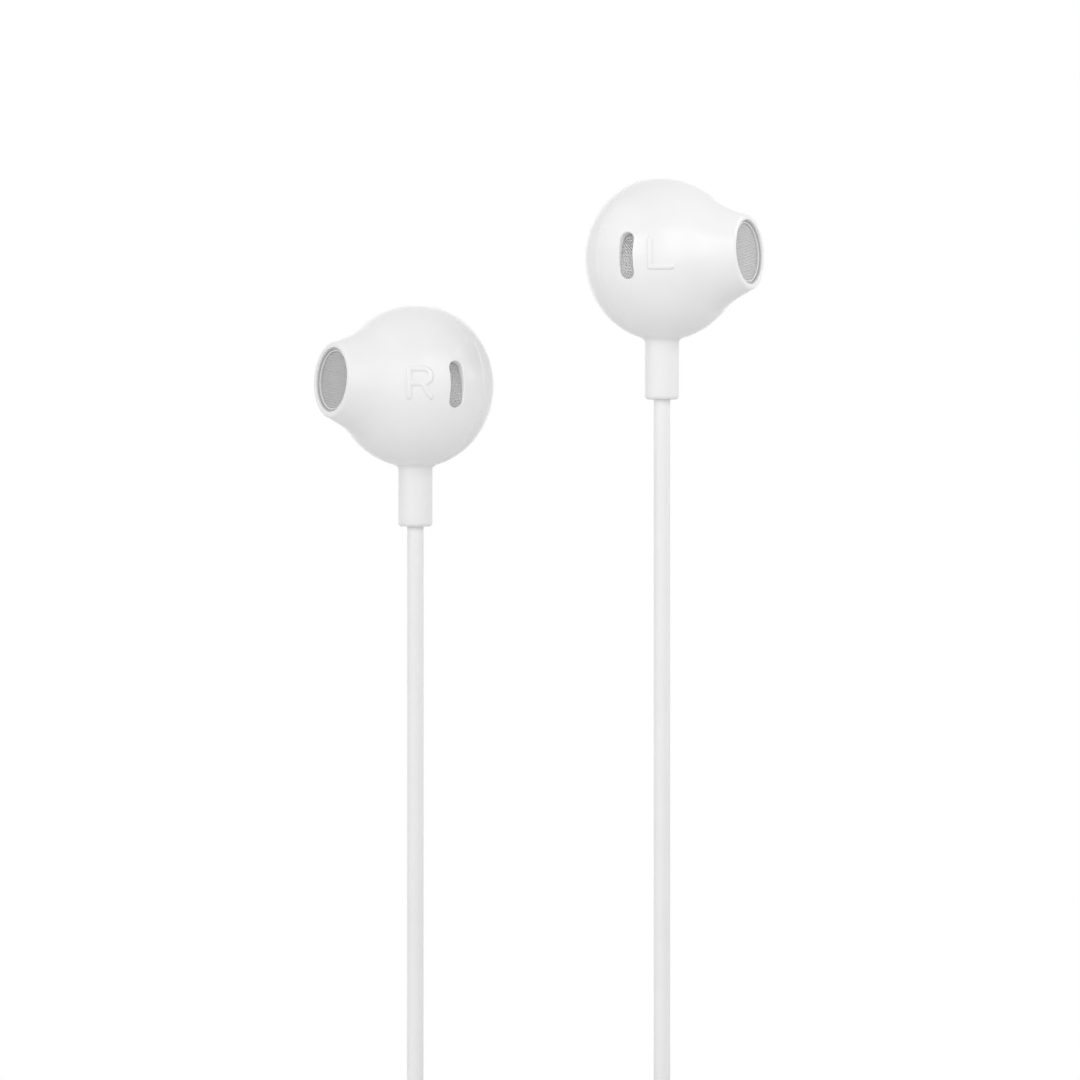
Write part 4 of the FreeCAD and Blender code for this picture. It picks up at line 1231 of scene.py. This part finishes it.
@dataclass
class Cabling:
    """The two leads, the splitter, the main cable and the strap round what is wound up."""

    spacing: float = 25.27
    step: float = 13.02
    level: float = -103.5
    lead_diameter: float = 1.7
    main_diameter: float = 2.0
    lead_pitch: float = 2.25
    lead_turns: int = 3
    lead_top: float = 5.65
    lead_steps: tuple[float, float, float] = (22.8, 14.5, 6.5)
    tail_drop: float = 10.5
    tail_end: float = 5.5
    main_inner: float = 6.3
    main_pitch: float = 3.1
    layer_step: float = 3.2
    half_turns: int = 5
    layers: int = 4
    main_plane: float = 4.65
    splitter_drop: float = 28.5
    splitter_length: float = 12.0
    splitter_pitch: float = 2.2
    splitter_top_width: float = 5.2
    splitter_end_width: float = 3.4
    splitter_thickness: float = 3.2
    splitter_corner: float = 1.3
    splitter_bend: float = 0.5
    strap_thickness: float = 1.0
    strap_inset: float = 0.1
    strap_corner: float = 1.6
    strap_bend: float = 0.28
    bead_height: float = 0.09
    bead_width: float = 0.16
    bead_inset: float = 0.75
    bite: float = 0.4

    @property
    def middle(self) -> np.ndarray:
        """The centre of the bundle, in the plane of the buds."""
        return np.array([-self.spacing / 2, 0.0, self.level])

    def build(self, plug: "Plug") -> None:
        """Make both leads, the splitter, the main cable and the strap.

        Args:
            plug: The plug at the main cable's end, already built.
        """
        splitter = self.splitter()
        self.lead(Side.LEFT)
        self.lead(Side.RIGHT)
        self.main_cable(plug)
        self.strap()

    def lead(self, side: Side) -> None:
        """One lead: straight down from its sleeve, three turns, and on to the splitter.

        Args:
            side: Which bud it belongs to.
        """
        sign = 1.0 if side is Side.LEFT else -1.0
        x = 0.0 if side is Side.LEFT else -self.spacing
        drop = 0.0 if side is Side.LEFT else -self.step
        plane = -self.lead_pitch if side is Side.LEFT else 0.0
        way_out = plane - sign * self.lead_pitch
        entry = self.level + self.lead_diameter
        # Down from inside the sleeve; the left lead steps forward into its own plane
        start = [(x, 0.0, drop - self.lead_top)]
        if side is Side.LEFT:
            depths = (0.0, 0.0, plane)
            start += [(x, y, self.level + rise) for y, rise in zip(depths, self.lead_steps)]
        start += [(x, plane, entry)]
        index = np.arange(2 * self.lead_turns + 1)
        radius = self.spacing / 2 - index * self.lead_pitch / 2
        across = self.middle[0] + sign * np.where(index % 2 == 0, 1.0, -1.0) * radius
        depth = np.where(index == index[-1], way_out, plane)
        crossings = np.stack([across, depth, np.full(len(index), self.level)], axis=1)
        coil = coil_points(crossings, -1.0, self.middle)
        low = self.level - self.lead_diameter
        into = (self.middle[0] + sign * self.splitter_pitch / 2, -self.lead_pitch / 2)
        top = self.level - self.splitter_drop
        # Out of the winding between the leads' planes, and a little way into the splitter
        tail = [
            (across[-1], way_out, low),
            (across[-1], way_out, low - self.tail_drop),
            (*into, top + self.tail_end),
            (*into, top - self.bite),
        ]
        name = f"{side.value}_lead"
        piece = cord(f"{name}_cable", np.concatenate([start, coil, tail]), self.lead_diameter)
        stands = (name, f"{name}_coil", f"{name}_tail")
        settle(piece, JACKET_TPE, stands)

    def main_crossings(self) -> np.ndarray:
        """Where the main cable crosses its level.

        Formula: the radius falls by half a pitch at each crossing of the first layer and grows
        again in the next one, which lies one layer's step further back, and so on by turns.

        Returns:
            Points (n, 3).
        """
        radius = self.main_inner + self.half_turns * self.main_pitch / 2
        inwards = -self.main_pitch / 2
        depth = self.main_plane
        side = 1.0
        rows = [(self.middle[0] + radius, depth, self.level)]
        for layer in range(self.layers):
            for _ in range(self.half_turns):
                side = -side
                radius += inwards
                rows.append((self.middle[0] + side * radius, depth, self.level))
            inwards = -inwards
            if layer + 1 < self.layers:
                side = -side
                depth += self.layer_step
                rows.append((self.middle[0] + side * radius, depth, self.level))
        return np.array(rows)

    def main_cable(self, plug: "Plug") -> None:
        """The main cable: a loop up from the splitter, four wound layers and the plug at its end.

        Args:
            plug: The plug that it ends in.
        """
        crossings = self.main_crossings()
        low = self.level - self.splitter_drop - self.splitter_length
        x = self.middle[0]
        depth = -self.lead_pitch / 2
        entry = crossings[0]
        # Out of the splitter's end, round below it and up on the right to the first turn
        loop = [
            (x, depth, low + self.bite),
            (x, depth, low - 6.0),
            (x + 4.6, depth + 1.6, low - 10.5),
            (x + 10.6, depth + 3.9, low - 9.9),
            (x + 14.9, entry[1], low - 4.5),
            (entry[0] + 2.0, entry[1], low + 7.5),
            (entry[0] + 1.4, entry[1], low + 21.0),
            (entry[0], entry[1], low + 31.0),
            (entry[0], entry[1], self.level - self.main_diameter),
        ]
        coil = coil_points(crossings, 1.0, self.middle)
        last = crossings[-1]
        # Straight down into the plug's relief
        end = [
            (last[0], last[1], self.level - self.main_diameter),
            (last[0], last[1], plug.top - plug.cable_depth),
        ]
        piece = cord("main_cable", np.concatenate([loop, coil, end]), self.main_diameter)
        stands = ("main_cable_loop", "main_cable_coil", "main_cable_end")
        settle(piece, JACKET_TPE, stands)

    def splitter(self) -> bpy.types.Object:
        """The moulded splitter.

        Formula: rounded rectangles stacked along z; the width falls evenly from top to bottom and
        both ends pull in along quarter circles.

        Returns:
            The piece.
        """
        bend = self.splitter_bend
        length = self.splitter_length
        top = self.level - self.splitter_drop
        turn = np.radians(np.linspace(0, 90, 7))
        end_in = bend * (1 - np.sin(turn))
        end_down = bend * (1 - np.cos(turn))
        inset = np.concatenate([end_in, np.zeros(14), end_down])
        side = np.linspace(bend, length - bend, 16)[1:-1]
        fall = np.concatenate([end_down, side, length - end_in])
        narrowing = self.splitter_end_width - self.splitter_top_width
        half_width = (self.splitter_top_width + narrowing * fall / length) / 2 - inset
        half_thick = self.splitter_thickness / 2 - inset
        corner = np.minimum(self.splitter_corner, half_thick)
        around = np.linspace(0, 2 * math.pi, 96, endpoint=False)
        ring_x, ring_y = rounded_ring(half_width, half_thick, corner, around)
        height = np.broadcast_to((top - fall)[:, None], ring_x.shape)
        body = np.stack([ring_x + self.middle[0], ring_y - self.lead_pitch / 2, height], axis=2)
        centre = body.mean(axis=1, keepdims=True)
        ends = [np.broadcast_to(centre[i], body[:1].shape) for i in (0, -1)]
        piece = surface("splitter_body", np.concatenate([ends[0], body, ends[1]]))
        settle(piece, SLEEVE_TPE, ("cable_splitter",))
        return piece

    def strap(self) -> None:
        """The silicone strap: a band with a thin lip along each edge and two fine beads.

        Formula: a rounded rectangle in the yz plane, carried across by a section whose thickness
        follows the beads; each lip is a quarter circle that stands out past the band's side.
        """
        low, high = (np.array(corner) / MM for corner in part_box("cable_strap"))
        half = (high[0] - low[0]) / 2
        bend = self.strap_bend
        flat = half - bend
        rounded = half - bend * (1 - np.sin(np.radians(np.linspace(90, 0, 6))))
        middle = np.linspace(-flat, flat, 41)[1:-1]
        outer = np.concatenate([-rounded[::-1], middle, rounded])
        across = np.concatenate([np.linspace(-flat, flat, 3), outer[::-1]])
        edge = np.clip((np.abs(across) - flat) / bend, 0, 1)
        from_bead = (np.abs(across) - half + self.bead_inset) / self.bead_width
        bead = self.bead_height * np.exp(-(from_bead**2))
        crown = self.strap_thickness - bend + bend * np.sqrt(1 - edge**2)
        out = crown - self.strap_inset + bead
        out[:3] = 0.0
        around = np.linspace(0, 2 * math.pi, 160, endpoint=False)
        size_y = (high[1] - low[1]) / 2 - self.strap_thickness
        size_z = (high[2] - low[2]) / 2 - self.strap_thickness
        ring_y, ring_z = rounded_ring(size_y + out, size_z + out, self.strap_corner + out, around)
        spread = np.broadcast_to(across[:, None], ring_y.shape)
        grid = np.stack([spread, ring_y, ring_z], axis=2) + (low + high) / 2
        piece = surface("strap_band", grid, Loop.BOTH, 50)
        settle(piece, STRAP_SILICONE, ("cable_strap",))


def rounded_ring(
    half_a: np.ndarray, half_b: np.ndarray, bend: np.ndarray, around: np.ndarray
) -> tuple[np.ndarray, np.ndarray]:
    """Rounded rectangles, one for each size.

    Formula: each angle belongs to the corner of its quarter; the point is that corner's centre plus
    the bend's radius times (cos, sin). Straight sides come from the step between two corners.

    Args:
        half_a: Half widths, shape (rows,).
        half_b: Half heights, shape (rows,).
        bend: Corner radii, shape (rows,).
        around: Angles, shape (columns,).

    Returns:
        Both coordinates, of shape (rows, columns).
    """
    bend = bend[:, None]
    rings = []
    for half, wave in ((half_a, np.cos(around)), (half_b, np.sin(around))):
        rings.append((half[:, None] - bend) * np.sign(np.round(wave, 9)) + bend * wave)
    return rings[0], rings[1]


# The plug


@dataclass
class Plug:
    """The straight stereo plug: grip with relief, sleeve, contact ring and tip."""

    x: float = -26.685
    y: float = 14.25
    top: float = -118.5
    cable_depth: float = 2.6
    relief: float = 9.0
    relief_start: float = 1.45
    relief_end: float = 2.0
    relief_round: float = 0.2
    grip: float = 14.0
    grip_radius: float = 2.9
    grip_bend: float = 0.8
    grip_end_bend: float = 0.4
    groove_depth: float = 0.3
    groove_width: float = 0.6
    grooves: int = 3
    collar: float = 0.8
    collar_radius: float = 2.4
    sleeve: float = 7.0
    shank: float = 1.75
    bore: float = 0.62
    band: float = 0.6
    band_inset: float = 0.03
    contact: float = 1.8
    tip: float = 4.0
    pieces: list[bpy.types.Object] = field(default_factory=list)

    def build(self) -> None:
        """Make the grip and the metal pieces, from the cable down."""
        self.grip_piece()
        start = self.relief + self.grip
        shoulder = start + self.collar
        end = shoulder + self.sleeve
        low = end + self.band
        second = low + self.contact
        last = second + self.band
        wide = self.collar_radius
        shank = self.shank
        inset = self.shank - self.band_inset
        neck = [(start, wide), (shoulder, wide), (shoulder, shank), (end, shank)]
        metal = (PLUG_METAL, "plug_metal")
        white = (INSULATOR_PBT, "insulator_white")
        self.ring("plug_shank", neck, 0.12, *metal, ("plug_sleeve",))
        contact = [(low, shank), (second, shank)]
        self.ring("plug_contact", contact, 0.06, *metal, ("plug_contact_ring",))
        upper = [(end, inset), (low, inset)]
        self.ring("plug_band_upper", upper, 0.03, *white, ("plug_insulators",))
        self.ring("plug_band_lower", [(second, inset), (last, inset)], 0.03, *white, ())
        self.tip_piece(last)

    def place(self, section: np.ndarray) -> np.ndarray:
        """Turn a section of (distance down the plug, radius) about the plug's axis."""
        turned = spun(np.stack([section[:, 1], -section[:, 0]], axis=1), 96)
        return placed(turned, moved_to(self.x, self.y, self.top))

    def ring(
        self,
        name: str,
        outline: list[tuple[float, float]],
        bevel: float,
        finish: Finish,
        slot: str,
        stands_for: tuple[str, ...],
    ) -> None:
        """A turned piece with a bore.

        Formula: the section is the outline with a bevel at both ends, closed along the bore.

        Args:
            name: The piece's name.
            outline: Its outer line, as distance down the plug and radius.
            bevel: The bevel at the first and last corner.
            finish: Its surface.
            slot: The record's material slot; not used.
            stands_for: The nodes that it replaces.
        """
        (start, first), (end, last) = outline[0], outline[-1]
        upper = [(start, self.bore), (start, first - bevel), (start + bevel, first)]
        lower = [(end - bevel, last), (end, last - bevel), (end, self.bore)]
        section = np.array([*upper, *outline[1:-1], *lower])
        piece = surface(name, self.place(section), Loop.BOTH, 30)
        self.pieces.append(settle(piece, finish, stands_for))

    def grip_piece(self) -> None:
        """The moulded grip and its grooved relief.

        Formula: the relief's radius grows evenly and dips in each groove along half a cosine wave; a
        quarter circle leads out to the grip, whose ends are rounded.
        """
        along = np.linspace(0, self.relief, 121)
        radius = self.relief_start + (self.relief_end - self.relief_start) * along / self.relief
        for number in range(self.grooves):
            centre = self.relief * (number + 1) / (self.grooves + 1)
            away = np.clip(np.abs(along - centre) / (self.groove_width * 0.75), 0, 1)
            radius = radius - self.groove_depth * (0.5 + 0.5 * np.cos(math.pi * away))
        total = self.relief + self.grip
        bend = self.grip_bend
        small = self.grip_end_bend
        section = np.concatenate(
            [
                [(0.0, 0.0), (0.0, self.relief_start - self.relief_round)],
                np.stack([along, radius], axis=1)[2:],
                arc((self.relief + bend, self.grip_radius - bend), bend, 180, 90, 12)[1:],
                arc((total - small, self.grip_radius - small), small, 90, 0, 8),
                [(total, 0.0)],
            ]
        )
        piece = surface("plug_grip_body", self.place(section), crease=50)
        self.pieces.append(settle(piece, SLEEVE_TPE, ("plug_grip",)))

    def tip_piece(self, start: float) -> None:
        """The contact tip: collar, waist, shoulder and rounded cone.

        Formula: the radius runs straight between the named places, then each point becomes the
        mean of seven neighbours, which rounds the corners.

        Args:
            start: How far down the plug the tip begins.
        """
        share = np.array([0, 0.05, 0.1, 0.16, 0.3, 0.42, 0.5, 0.56, 0.64, 0.8, 0.93, 0.985, 1])
        wide = np.array([1.7, 1.75, 1.72, 1.5, 1.2, 1.5, 1.68, 1.7, 1.62, 1.1, 0.68, 0.45, 0])
        fine = np.linspace(0, self.tip, 80)
        radius = np.interp(fine, share * self.tip, wide)
        radius[3:-3] = np.convolve(radius, np.ones(7) / 7, mode="valid")
        section = np.concatenate([[(start, 0.0)], np.stack([fine + start, radius], axis=1)])
        piece = surface("plug_contact_tip", self.place(section), crease=50)
        self.pieces.append(settle(piece, PLUG_METAL, ("plug_tip",)))


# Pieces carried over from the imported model


@dataclass(frozen=True)
class InnerParts:
    """The pieces inside the buds and the plug, which keep their shape and get their own finish."""

    in_bud: tuple[tuple[str, Finish], ...] = (
        ("driver_frame", DRIVER_ABS),
        ("driver_gasket", GASKET_FOAM),
        ("yoke", YOKE_STEEL),
        ("magnet", MAGNET_NICKEL),
        ("pole_plate", YOKE_STEEL),
        ("voice_coil", COPPER_WIRE),
        ("diaphragm", FILM),
        ("surround", FILM),
        ("driver_cover", YOKE_STEEL),
        ("damping_felt", DAMPING_FELT),
        ("terminal_board", BOARD_FR4),
        ("cable_crimp", YOKE_STEEL),
        ("lead_wires", COPPER_WIRE),
    )

    def dress(self) -> None:
        """Give each node its finish."""
        for side in Side:
            for piece, finish in self.in_bud:
                dress(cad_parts[f"{side.value}_{piece}"], finish)
        dress(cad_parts["plug_core"], YOKE_STEEL)


# The studio


@dataclass(frozen=True)
class Studio:
    """Camera, lamps, floor and surroundings."""

    distance: float = 600.0
    view_width: float = 110.7
    aim: tuple[float, float] = (-12.5, -28.8)
    floor: float = -158.0
    surroundings: float = 0.48
    fade: tuple[float, float] = (0.25, 0.75)

    def build(self) -> None:
        """Set up everything that isn't the object."""
        self.camera()
        self.world()
        self.floor_disc()
        self.lamp("key", (-60, -560, 120), 600, 0.5)
        self.lamp("near", (50, -110, 40), 100, 0.04)
        self.lamp("front left", (-420, -420, 160), 300, 0.62)
        self.lamp("left", (-330, -40, 260), 420, 0.28)
        self.lamp("right", (330, 60, 160), 240, 0.4)
        self.lamp("back", (-80, 620, 60), 600, 0.5)

    def camera(self) -> None:
        """A long lens, level and straight on, as in the photograph."""
        data = bpy.data.cameras.new("camera")
        data.sensor_width = 36.0
        data.lens = data.sensor_width * self.distance / self.view_width
        data.clip_start = 0.01
        data.clip_end = 20.0
        camera = bpy.data.objects.new("camera", data)
        camera.location = (self.aim[0] * MM, -self.distance * MM, self.aim[1] * MM)
        camera.rotation_euler = (math.radians(90), 0.0, 0.0)
        bpy.context.scene.collection.objects.link(camera)
        bpy.context.scene.camera = camera

    def seen(self, tree: bpy.types.NodeTree) -> bpy.types.NodeSocket:
        """Tell rays from the camera, a mirror or glass from the rays that only light.

        Args:
            tree: The node tree that needs to know.

        Returns:
            A socket in that tree: 1 for the first kind and 0 for the second.
        """
        path = add_node(tree, "ShaderNodeLightPath")
        rays = path.outputs["Is Camera Ray"]
        for other in ("Is Glossy Ray", "Is Transmission Ray"):
            either = {0: rays, 1: path.outputs[other]}
            rays = add_node(tree, "ShaderNodeMath", {"operation": "MAXIMUM"}, either).outputs[0]
        return rays

    def world(self) -> None:
        """White where it is seen, and a plain soft level where it lights."""
        world = bpy.data.worlds.new("studio")
        world.use_nodes = True
        tree = world.node_tree
        shader = tree.nodes["Background"]
        shader.inputs["Color"].default_value = (1.0, 1.0, 1.0, 1.0)
        inputs = {"Value": self.seen(tree), "To Min": self.surroundings, "To Max": 1.0}
        strength = add_node(tree, "ShaderNodeMapRange", inputs=inputs)
        tree.links.new(strength.outputs["Result"], shader.inputs["Strength"])
        bpy.context.scene.world = world

    def floor_disc(self) -> None:
        """A pale floor that runs out into white away from the object.

        Formula: flat rings from the centre to 4 m; where it is seen, its white grows evenly
        between the two distances of fade, in metres.
        """
        radii = np.array([0.0, 40.0, 120.0, 300.0, 700.0, 1500.0, 4000.0])
        disc = np.stack([radii, np.full(len(radii), self.floor)], axis=1)
        floor = surface("studio_floor", placed(spun(disc, 96), moved_to(self.aim[0], 0, 0)))
        values = {"Base Color": linear("f0f0f0"), "Roughness": 0.9}
        material, tree, shader, place = new_material("pale studio floor", values)
        far = add_node(tree, "ShaderNodeVectorMath", {"operation": "LENGTH"}, {0: place})
        inputs = {"Value": far.outputs["Value"], "From Min": self.fade[0], "From Max": self.fade[1]}
        fade = add_node(tree, "ShaderNodeMapRange", inputs=inputs)
        both = {0: fade.outputs["Result"], 1: self.seen(tree)}
        share = add_node(tree, "ShaderNodeMath", {"operation": "MULTIPLY"}, both)
        glow = {"Color": (1.0, 1.0, 1.0, 1.0), "Strength": 1.0}
        white = add_node(tree, "ShaderNodeEmission", inputs=glow)
        inputs = {0: share.outputs[0], 1: shader.outputs[0], 2: white.outputs[0]}
        mixed = add_node(tree, "ShaderNodeMixShader", inputs=inputs)
        tree.links.new(mixed.outputs[0], tree.nodes["Material Output"].inputs["Surface"])
        floor.data.materials.append(material)

    def lamp(self, name: str, place: tuple[float, float, float], size: float, power: float) -> None:
        """A square soft lamp that faces the middle of the picture.

        Args:
            name: The lamp's name.
            place: Its place in millimetres.
            size: Its side in millimetres.
            power: Its power in watts.
        """
        data = bpy.data.lights.new(name, "AREA")
        data.shape = "SQUARE"
        data.size = size * MM
        data.energy = power
        lamp = bpy.data.objects.new(name, data)
        lamp.location = [p * MM for p in place]
        aim = np.array([self.aim[0], 0.0, self.aim[1]]) - np.array(place)
        flat = math.hypot(aim[0], aim[1])
        lamp.rotation_euler = (math.atan2(flat, -aim[2]), 0.0, math.atan2(-aim[0], aim[1]))
        lamp.visible_camera = False
        bpy.context.scene.collection.objects.link(lamp)


def main() -> None:
    """Build the studio and the object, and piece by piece."""
    logging.basicConfig(level=logging.INFO, format="%(message)s")
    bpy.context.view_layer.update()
    bpy.context.scene.view_settings.view_transform = "Standard"
    Studio().build()
    plug = Plug()
    plug.build()
    cabling = Cabling()
    cabling.build(plug)
    right = (-cabling.spacing, 0.0, -cabling.step)
    EarBud(Side.LEFT, (0.0, 0.0, 0.0), 37.0, SideMark(-0.3, 0.26)).build()
    EarBud(Side.RIGHT, right, 32.5, SideMark(0.64, 0.13)).build()
    InnerParts().dress()


if __name__ == "__main__":
    main()
